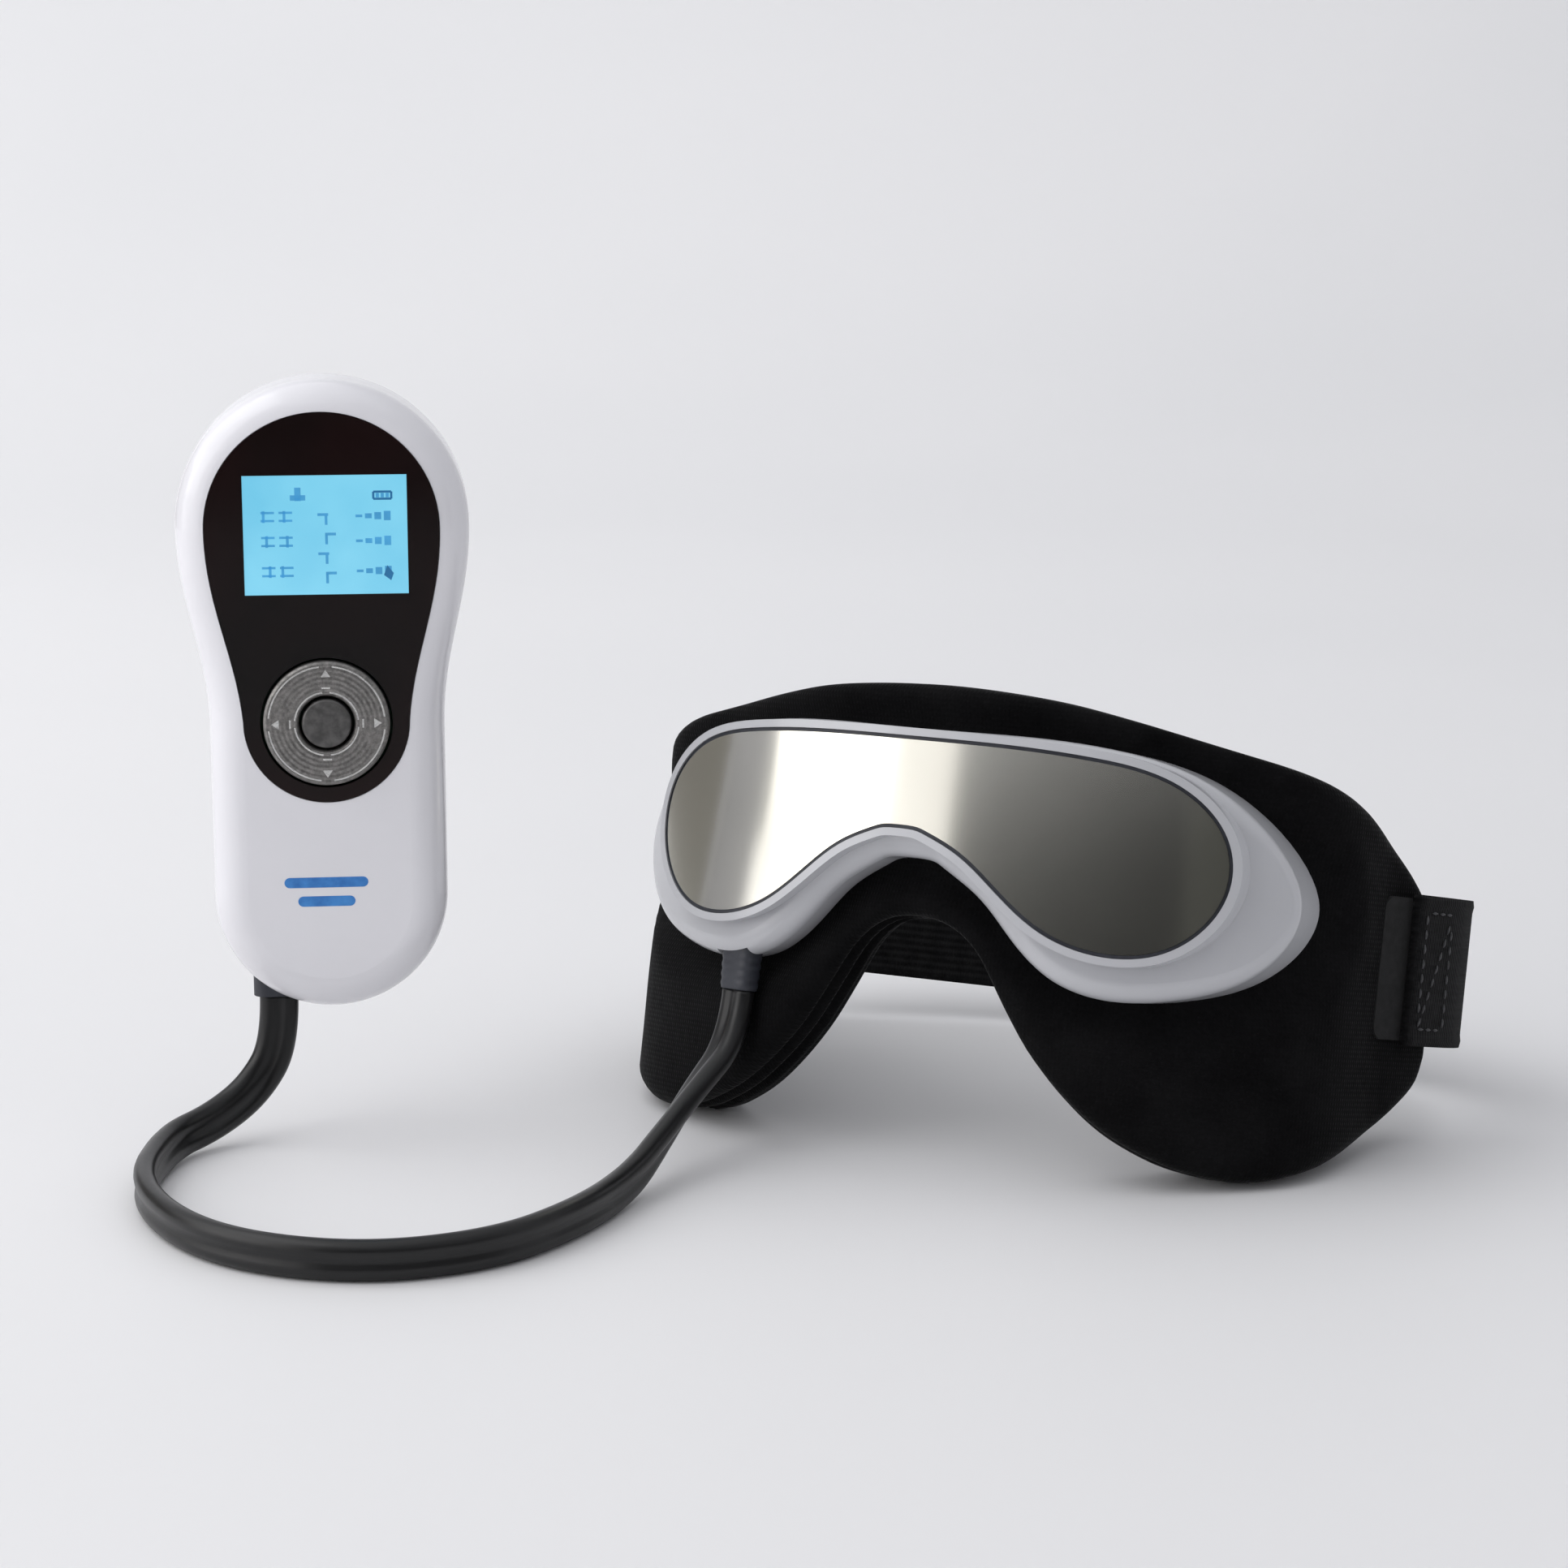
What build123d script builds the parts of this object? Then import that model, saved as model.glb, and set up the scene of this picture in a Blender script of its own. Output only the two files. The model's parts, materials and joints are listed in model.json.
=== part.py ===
"""Eye massager mask with a hand controller on a twin air hose.

Millimetres, +Z up, the whole object stands on Z = 0. The mask faces -Y, leans back a
little and stands on the two lower lobes of its pad. The controller stands upright in
front of its hose, turned a third of a right angle towards +X.
"""

import os
from math import acos, cos, pi, radians, sin, tan

from build123d import *

os.makedirs("parts", exist_ok=True)

# ---------------------------------------------------------------- driving dimensions
# Mask placement: the reference point is the lens front above the nose.
MASK_LEAN = 14.0
MASK_POINT = (31.8, -47.9, 82.01)

# Everything in the mask is wrapped round one vertical axis, WRAP behind the lens front.
WRAP = 115.0
LENS_BACK = 113.0
BEZEL_FRONT = 111.0
LIP_FRONT = 115.4
BEZEL_BACK = 99.2
BEZEL_RECESS = 101.45
CHASSIS_FRONT = 101.3
CHASSIS_BACK = 99.3
PAD_FRONT = 99.0
PAD_BACK = 85.3
BLADDER_FRONT = 90.8
BLADDER_BACK = 87.0
HEATER_FRONT = 86.8
HEATER_BACK = 86.2
LINING_FRONT = 85.1
LINING_BACK = 82.5
LINING_INSET = 4.0
WING_END = 100.0

# Tools and blanks reach well past what they cut or keep.
BLANK_FRONT = 40.0
BLANK_REACH = 160.0
RING_LOW = -100.0
RING_HEIGHT = 180.0

# Unrolled half outlines as (arc length from the middle, height).
LENS_HALF = [
    (0, 19), (42, 18), (61, 14), (72, 5), (74.5, -4), (70, -15), (60, -22),
    (48, -23.5), (34, -19.5), (21, -9.6), (13, -3.9), (6, -0.8), (0, 0),
]
BEZEL_HALF = [
    (0, 22), (42, 21.5), (62, 17.5), (77, 9.5), (87, 0), (91, -9), (87.5, -19),
    (77, -27.5), (62, -32.5), (47, -34), (35, -31), (24, -22), (16, -13.8), (8, -8.6), (0, -7),
]
PAD_TOP_HALF = [(0, 32.5), (25, 31.3), (45, 28.5), (70, 23.5), (100, 17.5)]
PAD_LOW_HALF = [
    (0, -20), (8, -21.5), (15, -27), (22, -38), (29, -48), (38, -57), (48, -64),
    (60, -69), (72, -71.5), (83, -74), (97, -80),
]
WING_TOP = [(86, 22), (98, 17.6), (110, 12.2), (122, 5), (133, -3)]
WING_END_TOP = -12.0
WING_END_LOW = -47.0
LIMIT_CORNERS = (130.0, 70.0, -110.0)
WING_LOW = [(68, -80), (77, -74), (89, -69.5), (102, -66), (116, -60.5), (128, -54)]

# Fits: a hair of play, a seam gap and the lip round the lens.
PLAY = 0.05
GASKET_THICK = 0.75
LIP_WIDTH = 2.6
LEDGE_WIDTH = 3.4
SEAT_INSET = 1.9
BEZEL_ROUND = 4.5

# Eye zones: the air cells and heaters press here.
EYE_X = 35.0
EYE_Z = -14.0
EYE_RADII = (22.0, 18.0)

# Vibration motors between lens and chassis.
MOTOR_S = 38.0
MOTOR_DEPTH = 106.5
MOTOR_RADIUS = 4.0
MOTOR_LOW = -13.0
MOTOR_LENGTH = 13.0
MOTOR_BOSS_RADIUS = 1.5
MOTOR_BORE = 0.55
WEIGHT_SHAFT = 0.5
WEIGHT_RADIUS = 3.8
WEIGHT_LENGTH = 5.0
CRADLE_HEIGHT = 3.5
CRADLE_BEHIND = -3.6
CRADLE_SECTION = (4.4, 11.5)

# Screws through the chassis into the bezel.
SCREW_RADIUS = 1.1
SCREW_HEAD_RADIUS = 2.0
SCREW_HEAD_HEIGHT = 1.0
SCREW_REACH = 8.0

# Head strap.
STRAP_LOW = -38.0
STRAP_HEIGHT = 35.0
STRAP_THICK = 2.2
STRAP_INNER = 100.5
STRAP_START = 82.0
STRAP_BEND = 30.0
STRAP_TURN = 82.0
STRAP_APEX = 152.0

# Controller.
CTL_TURN = 32.0
CTL_POINT = (MASK_POINT[0] - 132.6, MASK_POINT[1] - 25.9, 33.5)
CTL_LENGTH = 144.6
CTL_FRONT = 15.0
CTL_BACK = 15.0
CTL_WALL = 2.0
CTL_ROUND = 8.0
BODY_TOP = 66.0
BOSS_RADIUS = 2.5
BODY_RADIUS = 26.6
HEAD_RADIUS = 33.0
PANEL_HEAD_RADIUS = 26.2
PANEL_FOOT_RADIUS = 18.6
PANEL_FOOT_Y = 68.0
PANEL_BACK_Z = 13.4
PANEL_FRONT_Z = 15.2
LCD_SIZE = (36.5, 26.8)
LCD_AT = (0.8, 110.4)
LCD_BACK = 8.4
LCD_DEPTH = 4.4
NAV_Y = 67.7
NAV_RADIUS = 14.25
NAV_HOLE = 6.3
NAV_TOP = 16.5
BUTTON_RADIUS = 5.6
CELL_RADIUS = 5.25
CELL_LENGTH = 44.5
SCREW_SPOTS = [(-23, 122), (23, 122), (-21.5, 71), (21.5, 71)]

# Twin hose, as a plain round tube of the ribbon's width.
HOSE_WIDTH = 9.0
HOSE_X = -13.0

# ---------------------------------------------------------------- planes
lean_cos = cos(radians(MASK_LEAN))
lean_sin = sin(radians(MASK_LEAN))
MASK_UP = Vector(0, lean_sin, lean_cos)
MASK_BACK = Vector(0, lean_cos, -lean_sin)
FRONT = Plane(origin=MASK_POINT, x_dir=(1, 0, 0), z_dir=-MASK_BACK)
TOP = Plane(origin=MASK_POINT, x_dir=(1, 0, 0), z_dir=MASK_UP)
SIDE = Plane(origin=MASK_POINT, x_dir=MASK_BACK, z_dir=(1, 0, 0))
MASK_MIDDLE = Plane(origin=MASK_POINT, z_dir=(1, 0, 0))

turn_cos = cos(radians(CTL_TURN))
turn_sin = sin(radians(CTL_TURN))
CTL = Plane(origin=CTL_POINT, x_dir=(turn_cos, turn_sin, 0), z_dir=(turn_sin, -turn_cos, 0))


def save(builder, name):
    """Label a finished piece and write its STEP file."""
    builder.part.label = name
    export_step(builder.part, f"parts/{name}.step")


def front_xy(points, radius):
    """Turn unrolled (arc, height) points on a wrap radius into front-view (x, z)."""
    return [(radius * sin(arc / radius), height) for arc, height in points]


def side_yz(points, radius):
    """Turn unrolled (arc, height) points on a wrap radius into side-view (y, z)."""
    return [(WRAP - radius * cos(arc / radius), height) for arc, height in points]


def on_wrap(arc, height, radius, base=WRAP):
    """World point at an unrolled place, the arc measured on the base radius."""
    angle = arc / base
    return TOP.from_local_coords((radius * sin(angle), WRAP - radius * cos(angle), height))


def upright_plane(arc, height, radius, base=WRAP):
    """Plane across the mask's height: local x points outwards, local z up."""
    angle = arc / base
    outward = TOP.x_dir * sin(angle) - TOP.y_dir * cos(angle)
    return Plane(origin=on_wrap(arc, height, radius, base), x_dir=outward, z_dir=MASK_UP)


def outward_plane(arc, height, radius, base=WRAP):
    """Plane on the wrap surface: local z points outwards, local y up."""
    upright = upright_plane(arc, height, radius, base)
    return Plane(origin=upright.origin, x_dir=upright.y_dir, z_dir=upright.x_dir)


# ---------------------------------------------------------------- mask outlines
def grown(points, amount):
    """Move a line of points to its left by an amount; ends on x = 0 stay on x = 0."""
    moved = []
    last = len(points) - 1
    for index, (across, height) in enumerate(points):
        before = points[max(index - 1, 0)]
        after = points[min(index + 1, last)]
        if abs(across) < 1e-9:
            near = points[1] if index == 0 else points[-2]
            mirrored = (-near[0], near[1])
            before, after = (mirrored, near) if index == 0 else (near, mirrored)
        run = Vector(after[0] - before[0], after[1] - before[1]).normalized()
        moved.append((across - run.Y * amount, height + run.X * amount))
    return moved


def closed_outline(half, radius, grow=0.0):
    """Symmetric closed outline in the mask's front view, grown or shrunk evenly."""
    with BuildSketch(FRONT.offset(BLANK_FRONT)) as outline:
        with BuildLine():
            Spline(grown(front_xy(half, radius), grow), tangents=[(1, 0), (-1, 0)])
            mirror(about=Plane.YZ)
        make_face()
    return outline.sketch


def wrap_ring(inner, outer):
    """Half ring in the mask's top view between two wrap radii."""
    with BuildSketch(TOP.offset(RING_LOW)) as ring:
        with Locations((0, WRAP)):
            Circle(outer)
            Circle(inner, mode=Mode.SUBTRACT)
        with Locations((0, WRAP + outer / 2 + 3)):
            Rectangle(3 * outer, outer + 6, mode=Mode.SUBTRACT)
    return ring.sketch


def eye_zones(grow):
    """Both eye-zone ellipses in the front view."""
    with BuildSketch(FRONT.offset(BLANK_FRONT)) as zones:
        with Locations((-EYE_X, EYE_Z), (EYE_X, EYE_Z)):
            Ellipse(EYE_RADII[0] + grow, EYE_RADII[1] + grow)
    return zones.sketch


def pad_front(inset):
    """Front-view limits of the pad's right half: top and nose edges, open beyond the cheek."""
    top = grown(front_xy(PAD_TOP_HALF, PAD_FRONT), -inset)
    low = grown(front_xy(PAD_LOW_HALF, PAD_FRONT), inset)
    side, high, deep = LIMIT_CORNERS
    with BuildSketch(FRONT.offset(BLANK_FRONT)) as limits:
        with BuildLine():
            Spline(top, tangents=[(1, 0), (1, -0.18)])
            Polyline(top[-1], (top[-1][0], high), (side, high), (side, deep), (low[-1][0], deep), low[-1])
            Spline(low, tangents=[(1, 0), (1, -0.6)])
            Line(low[0], top[0])
        make_face()
    return limits.sketch


def pad_side(inset):
    """Side-view limits of the pad: both wing edges and the wing end."""
    top = grown(side_yz(WING_TOP, PAD_FRONT), -inset)
    low = grown(side_yz(WING_LOW, PAD_FRONT), inset)
    end = WING_END - inset
    side, high, deep = LIMIT_CORNERS
    with BuildSketch(SIDE.offset(-BLANK_REACH)) as limits:
        with BuildLine():
            Spline(top, tangents=[(1, -0.35), (1, -0.8)])
            Polyline(top[-1], (end, WING_END_TOP), (end, WING_END_LOW), low[-1])
            Spline(low, tangents=[(1, 1.2), (1, 0.5)])
            Polyline(low[0], (low[0][0], deep), (-side, deep), (-side, high), (top[0][0], high), top[0])
        make_face()
    return limits.sketch


# ---------------------------------------------------------------- mask hard shell
with BuildPart() as lens:
    extrude(closed_outline(LENS_HALF, WRAP), amount=-BLANK_REACH)
    extrude(wrap_ring(LENS_BACK, WRAP), amount=RING_HEIGHT, mode=Mode.INTERSECT)
save(lens, "mask_lens")

with BuildPart() as gasket:
    extrude(closed_outline(LENS_HALF, WRAP, grow=PLAY + GASKET_THICK), amount=-BLANK_REACH)
    extrude(closed_outline(LENS_HALF, WRAP, grow=PLAY), amount=-BLANK_REACH, mode=Mode.SUBTRACT)
    extrude(wrap_ring(LENS_BACK, WRAP - 0.2), amount=RING_HEIGHT, mode=Mode.INTERSECT)
save(gasket, "lens_gasket")

SCREW_ARCS = [(-83, -7), (83, -7), (-60, -27.5), (60, -27.5), (0, -2.6), (-31, 18.8), (31, 18.8)]
screw_planes = [outward_plane(arc, height, CHASSIS_BACK) for arc, height in SCREW_ARCS]

# The hose's strain relief stands in a slot through the bezel's lower edge.
RELIEF_ARC = -49.0
RELIEF_DEPTH = 106.2
RELIEF_TOP = -22.0
RELIEF_END = -41.5
RELIEF_SLOT_ABOVE = 5.0
RELIEF_SECTION = (6.6, 10.6)
RELIEF_ROUND = 2.5
relief_plane = upright_plane(RELIEF_ARC, RELIEF_TOP, RELIEF_DEPTH)

with BuildPart() as lens_seat:
    extrude(closed_outline(LENS_HALF, WRAP, grow=2 * PLAY + GASKET_THICK), amount=-BLANK_REACH)
    extrude(wrap_ring(LENS_BACK - PLAY, WRAP + 10), amount=RING_HEIGHT, mode=Mode.INTERSECT)

with BuildPart() as chassis_seat:
    extrude(closed_outline(BEZEL_HALF, BEZEL_FRONT, grow=-SEAT_INSET), amount=-BLANK_REACH)
    extrude(wrap_ring(BEZEL_BACK - 2, BEZEL_RECESS), amount=RING_HEIGHT, mode=Mode.INTERSECT)

with BuildPart() as lens_lip:
    extrude(closed_outline(LENS_HALF, WRAP, grow=LIP_WIDTH), amount=-BLANK_REACH)
    extrude(wrap_ring(BEZEL_BACK, LIP_FRONT), amount=RING_HEIGHT, mode=Mode.INTERSECT)

with BuildPart() as bezel:
    extrude(closed_outline(BEZEL_HALF, BEZEL_FRONT), amount=-BLANK_REACH)
    extrude(wrap_ring(BEZEL_BACK, BEZEL_FRONT), amount=RING_HEIGHT, mode=Mode.INTERSECT)
    front_face = bezel.faces().sort_by(SortBy.AREA)[-2:].sort_by(lambda face: face.center().Y)[0]
    fillet(front_face.edges(), BEZEL_ROUND)
    add(lens_lip.part)
    extrude(closed_outline(LENS_HALF, WRAP, grow=-LEDGE_WIDTH), amount=-BLANK_REACH, mode=Mode.SUBTRACT)
    add(lens_seat.part, mode=Mode.SUBTRACT)
    add(chassis_seat.part, mode=Mode.SUBTRACT)
    with BuildSketch(relief_plane.offset(RELIEF_SLOT_ABOVE)):
        Rectangle(RELIEF_SECTION[0] + 2 * PLAY, RELIEF_SECTION[1] + 2 * PLAY)
    extrude(amount=RELIEF_END - RELIEF_TOP - 2 * RELIEF_SLOT_ABOVE, mode=Mode.SUBTRACT)
    for screw_plane in screw_planes:
        with BuildSketch(screw_plane):
            Circle(SCREW_RADIUS + PLAY)
        extrude(amount=SCREW_REACH, mode=Mode.SUBTRACT)
save(bezel, "mask_bezel")

with BuildPart() as strain_relief:
    with BuildSketch(relief_plane):
        RectangleRounded(RELIEF_SECTION[0], RELIEF_SECTION[1], RELIEF_ROUND)
    extrude(amount=RELIEF_END - RELIEF_TOP)
save(strain_relief, "mask_strain_relief")

FEED_PATH = [(RELIEF_ARC, RELIEF_TOP), (RELIEF_ARC, 9.5), (-26, 11.5), (-7, 10.0)]
TUBE_RADIUS = 1.4
TUBE_PLAY = 0.3
TUBE_DEPTH = 106.0
CELL_PORT = (28.5, -4.0)
MANIFOLD_SIZE = (6.0, 11.8, 8.0)


def motor_plane(side, height):
    """Plane across the vibration motor's upright shaft on one side of the mask."""
    return upright_plane(side * MOTOR_S, height, MOTOR_DEPTH)


with BuildPart() as chassis:
    extrude(closed_outline(BEZEL_HALF, BEZEL_FRONT, grow=-SEAT_INSET - 2 * PLAY), amount=-BLANK_REACH)
    extrude(wrap_ring(CHASSIS_BACK, CHASSIS_FRONT), amount=RING_HEIGHT, mode=Mode.INTERSECT)
    for side in (-1, 1):
        for height in (MOTOR_LOW + 1.0, MOTOR_LOW + MOTOR_LENGTH - CRADLE_HEIGHT - 1.0):
            with BuildSketch(motor_plane(side, height)):
                with Locations((CRADLE_BEHIND, 0)):
                    Rectangle(*CRADLE_SECTION)
                Circle(MOTOR_RADIUS + PLAY, mode=Mode.SUBTRACT)
            extrude(amount=CRADLE_HEIGHT)
        with BuildSketch(outward_plane(side * CELL_PORT[0], CELL_PORT[1], CHASSIS_BACK - 1)):
            Circle(TUBE_RADIUS + TUBE_PLAY)
        extrude(amount=CHASSIS_FRONT - CHASSIS_BACK + 2, mode=Mode.SUBTRACT)
    for screw_plane in screw_planes:
        with BuildSketch(screw_plane.offset(-1)):
            Circle(SCREW_RADIUS + PLAY)
        extrude(amount=5, mode=Mode.SUBTRACT)
        with BuildSketch(screw_plane.offset(-1)):
            Circle(SCREW_HEAD_RADIUS + 2 * PLAY)
        extrude(amount=SCREW_HEAD_HEIGHT + 1.1, mode=Mode.SUBTRACT)
save(chassis, "mask_chassis")

with BuildPart() as chassis_screws:
    for screw_plane in screw_planes:
        with BuildSketch(screw_plane.offset(2 * PLAY)):
            Circle(SCREW_HEAD_RADIUS)
        extrude(amount=SCREW_HEAD_HEIGHT)
        with BuildSketch(screw_plane.offset(2 * PLAY + SCREW_HEAD_HEIGHT)):
            Circle(SCREW_RADIUS)
        extrude(amount=SCREW_REACH - SCREW_HEAD_HEIGHT - 0.6)
save(chassis_screws, "chassis_screws")

# ---------------------------------------------------------------- vibration motors
for side, word in ((-1, "left"), (1, "right")):
    with BuildPart() as motor:
        with BuildSketch(motor_plane(side, MOTOR_LOW)):
            Circle(MOTOR_RADIUS)
        extrude(amount=MOTOR_LENGTH)
        with BuildSketch(motor_plane(side, MOTOR_LOW + MOTOR_LENGTH)):
            Circle(MOTOR_BOSS_RADIUS)
        extrude(amount=1.0)
        with BuildSketch(motor_plane(side, MOTOR_LOW + 1)):
            Circle(MOTOR_BORE)
        extrude(amount=MOTOR_LENGTH + 2, mode=Mode.SUBTRACT)
    save(motor, f"vibration_motor_{word}")

    with BuildPart() as weight:
        with BuildSketch(motor_plane(side, MOTOR_LOW + 2)):
            Circle(WEIGHT_SHAFT)
        extrude(amount=MOTOR_LENGTH + WEIGHT_LENGTH + 0.5)
        with BuildSketch(motor_plane(side, MOTOR_LOW + MOTOR_LENGTH + 2)):
            Circle(WEIGHT_RADIUS)
            with Locations((-2.4, 0)):
                Rectangle(4.0, 8.0, mode=Mode.SUBTRACT)
            Circle(1.4)
        extrude(amount=WEIGHT_LENGTH)
    save(weight, f"eccentric_weight_{word}")

# ---------------------------------------------------------------- air distribution
with BuildPart() as manifold:
    with BuildSketch(upright_plane(0, 6.0, TUBE_DEPTH)):
        RectangleRounded(MANIFOLD_SIZE[0], MANIFOLD_SIZE[1], 1.5)
    extrude(amount=MANIFOLD_SIZE[2])
save(manifold, "air_manifold")

feed_points = [on_wrap(arc, height, TUBE_DEPTH) for arc, height in FEED_PATH]
feed_end = on_wrap(0, 10.0, TUBE_DEPTH) - TOP.x_dir * (MANIFOLD_SIZE[1] / 2)
with BuildPart() as feed_tube:
    with BuildLine() as feed_line:
        FilletPolyline(*feed_points[:-1], feed_end, radius=6)
    with BuildSketch(Plane(feed_points[0], z_dir=feed_line.line % 0)):
        Circle(TUBE_RADIUS)
    sweep()
save(feed_tube, "air_feed_tube")

for side, word in ((-1, "left"), (1, "right")):
    port = on_wrap(side * CELL_PORT[0], CELL_PORT[1], BLADDER_FRONT + 0.05)
    turn_in = on_wrap(side * CELL_PORT[0], CELL_PORT[1], TUBE_DEPTH - 1)
    side_out = on_wrap(0, 8.0, TUBE_DEPTH - 1) + TOP.x_dir * (side * MANIFOLD_SIZE[1] / 2)
    knee = on_wrap(side * 16, 5.0, TUBE_DEPTH - 1)
    with BuildPart() as cell_tube:
        with BuildLine() as cell_line:
            FilletPolyline(side_out, knee, turn_in, port, radius=3)
        with BuildSketch(Plane(side_out, z_dir=cell_line.line % 0)):
            Circle(TUBE_RADIUS)
        sweep()
    save(cell_tube, f"bladder_tube_{word}")

# ---------------------------------------------------------------- pad, cells, lining
with BuildPart() as pad:
    extrude(wrap_ring(PAD_BACK, PAD_FRONT), amount=RING_HEIGHT)
    extrude(pad_side(0), amount=2 * BLANK_REACH, mode=Mode.INTERSECT)
    extrude(pad_front(0), amount=-BLANK_REACH, mode=Mode.INTERSECT)
    mirror(about=MASK_MIDDLE)
with BuildPart() as pockets:
    extrude(eye_zones(0.3), amount=-BLANK_REACH)
    extrude(wrap_ring(PAD_BACK - 1, BLADDER_FRONT + 0.2), amount=RING_HEIGHT, mode=Mode.INTERSECT)
with BuildPart() as mask_pad:
    add(pad.part)
    add(pockets.part, mode=Mode.SUBTRACT)
    for side in (-1, 1):
        with BuildSketch(outward_plane(side * CELL_PORT[0], CELL_PORT[1], PAD_BACK)):
            Circle(TUBE_RADIUS + TUBE_PLAY)
        extrude(amount=PAD_FRONT - PAD_BACK + 2, mode=Mode.SUBTRACT)
save(mask_pad, "mask_pad")

with BuildPart() as lining:
    extrude(wrap_ring(LINING_BACK, LINING_FRONT), amount=RING_HEIGHT)
    extrude(pad_side(LINING_INSET), amount=2 * BLANK_REACH, mode=Mode.INTERSECT)
    extrude(pad_front(LINING_INSET), amount=-BLANK_REACH, mode=Mode.INTERSECT)
    mirror(about=MASK_MIDDLE)
save(lining, "face_lining")

for name, front_radius, back_radius, shrink in (
    ("bladder", BLADDER_FRONT, BLADDER_BACK, 0.0),
    ("heater_film", HEATER_FRONT, HEATER_BACK, -1.5),
):
    with BuildPart() as zone_pair:
        extrude(eye_zones(shrink), amount=-BLANK_REACH)
        extrude(wrap_ring(back_radius, front_radius), amount=RING_HEIGHT, mode=Mode.INTERSECT)
    for zone, word in zip(zone_pair.solids().sort_by(Axis.X), ("left", "right")):
        with BuildPart() as zone_piece:
            add(zone)
        save(zone_piece, f"{name}_{word}")

# ---------------------------------------------------------------- head strap
strap_angle = acos((WRAP - STRAP_START) / STRAP_INNER)
strap_first = (STRAP_INNER * sin(strap_angle), STRAP_START)
leave_angle = acos((WRAP - WING_END) / STRAP_INNER)
leave_point = (STRAP_INNER * sin(leave_angle), WING_END)
with BuildPart() as strap:
    with BuildSketch(TOP.offset(STRAP_LOW)):
        with BuildLine() as strap_line:
            lap = TangentArc(strap_first, leave_point, tangent=(cos(strap_angle), sin(strap_angle)))
            bend = JernArc(start=lap @ 1, tangent=lap % 1, radius=STRAP_BEND, arc_size=STRAP_TURN)
            TangentArc(bend @ 1, (0, STRAP_APEX), tangent=bend % 1)
            offset(amount=STRAP_THICK, side=Side.RIGHT)
        make_face()
    extrude(amount=STRAP_HEIGHT)
    mirror(about=MASK_MIDDLE)
save(strap, "head_strap")

for side, word in ((-1, "left"), (1, "right")):
    with BuildPart() as tab:
        with BuildSketch(SIDE.offset(0)):
            with Locations((80, STRAP_LOW + STRAP_HEIGHT / 2)):
                RectangleRounded(14, STRAP_HEIGHT - 2, 3)
        extrude(amount=side * 130)
        extrude(wrap_ring(PAD_FRONT + 0.1, PAD_FRONT + 1.4), amount=RING_HEIGHT, mode=Mode.INTERSECT)
    save(tab, f"strap_patch_{word}")

# ---------------------------------------------------------------- controller outlines
head_centre = (0, CTL_LENGTH - HEAD_RADIUS)


def ctl_plane(height):
    """Plane parallel to the controller's face, a height in front of its parting line."""
    return CTL.offset(height)


def ctl_outline(height, inset=0.0):
    """The controller's outline: round foot, slim body and round head."""
    foot = BODY_RADIUS - inset
    head = HEAD_RADIUS - inset
    with BuildSketch(ctl_plane(height)) as outline:
        with BuildLine():
            RadiusArc((0, inset), (foot, BODY_RADIUS), -foot)
            Line((foot, BODY_RADIUS), (foot, BODY_TOP))
            Spline((foot, BODY_TOP), (head, head_centre[1]), tangents=[(0, 1), (0, 1)])
            RadiusArc((head, head_centre[1]), (0, CTL_LENGTH - inset), -head)
            mirror(about=Plane.YZ)
        make_face()
    return outline.sketch


def panel_outline(height, grow=0.0):
    """The dark teardrop panel's outline."""
    head = PANEL_HEAD_RADIUS + grow
    foot = PANEL_FOOT_RADIUS + grow
    with BuildSketch(ctl_plane(height)) as outline:
        with BuildLine():
            RadiusArc((0, PANEL_FOOT_Y - foot), (foot, PANEL_FOOT_Y), -foot)
            Spline((foot, PANEL_FOOT_Y), (head, head_centre[1]), tangents=[(0.08, 1), (0, 1)])
            RadiusArc((head, head_centre[1]), (0, head_centre[1] + head), -head)
            mirror(about=Plane.YZ)
        make_face()
    return outline.sketch


# ---------------------------------------------------------------- controller shells
GROMMET_SECTION = (11.5, 7.0)
GROMMET_LOW = 1.0
GROMMET_TOP = 10.0
CTL_ACROSS = Plane(origin=CTL_POINT, x_dir=CTL.x_dir, z_dir=(0, 0, 1))
DOOR_TOP = 67.0
DOOR_FACE = -6.0
DOOR_GAP = 0.3
GRIP_SPOTS = [(0, 56), (0, 59), (0, 62)]
GRIP_SIZE = (16, 1.4)

with BuildPart() as front_shell:
    extrude(ctl_outline(0), amount=CTL_FRONT)
    front_face = front_shell.faces().filter_by(CTL).sort_by(Axis.Y)[0]
    fillet(front_face.edges(), CTL_ROUND)
    parting = front_shell.faces().filter_by(CTL).sort_by(Axis.Y)[-1]
    offset(amount=-CTL_WALL, openings=parting)
    for spot in SCREW_SPOTS:
        with BuildSketch(ctl_plane(0.1)):
            with Locations(spot):
                Circle(BOSS_RADIUS)
        extrude(amount=CTL_FRONT - CTL_WALL)
        with BuildSketch(ctl_plane(0)):
            with Locations(spot):
                Circle(0.95)
        extrude(amount=9, mode=Mode.SUBTRACT)
    extrude(panel_outline(PANEL_BACK_Z - 0.05, grow=0.15), amount=4, mode=Mode.SUBTRACT)
    with BuildSketch(ctl_plane(0)):
        with Locations(LCD_AT):
            Rectangle(LCD_SIZE[0] + 1, LCD_SIZE[1] + 1)
        with Locations((0, NAV_Y)):
            Circle(NAV_RADIUS + 0.8)
    extrude(amount=20, mode=Mode.SUBTRACT)
    with BuildSketch(CTL_ACROSS):
        with Locations((HOSE_X, 0)):
            Rectangle(GROMMET_SECTION[0] + 2 * PLAY, GROMMET_SECTION[1] + 2 * PLAY)
    extrude(amount=GROMMET_TOP, mode=Mode.SUBTRACT)
save(front_shell, "controller_front_shell")

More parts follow.
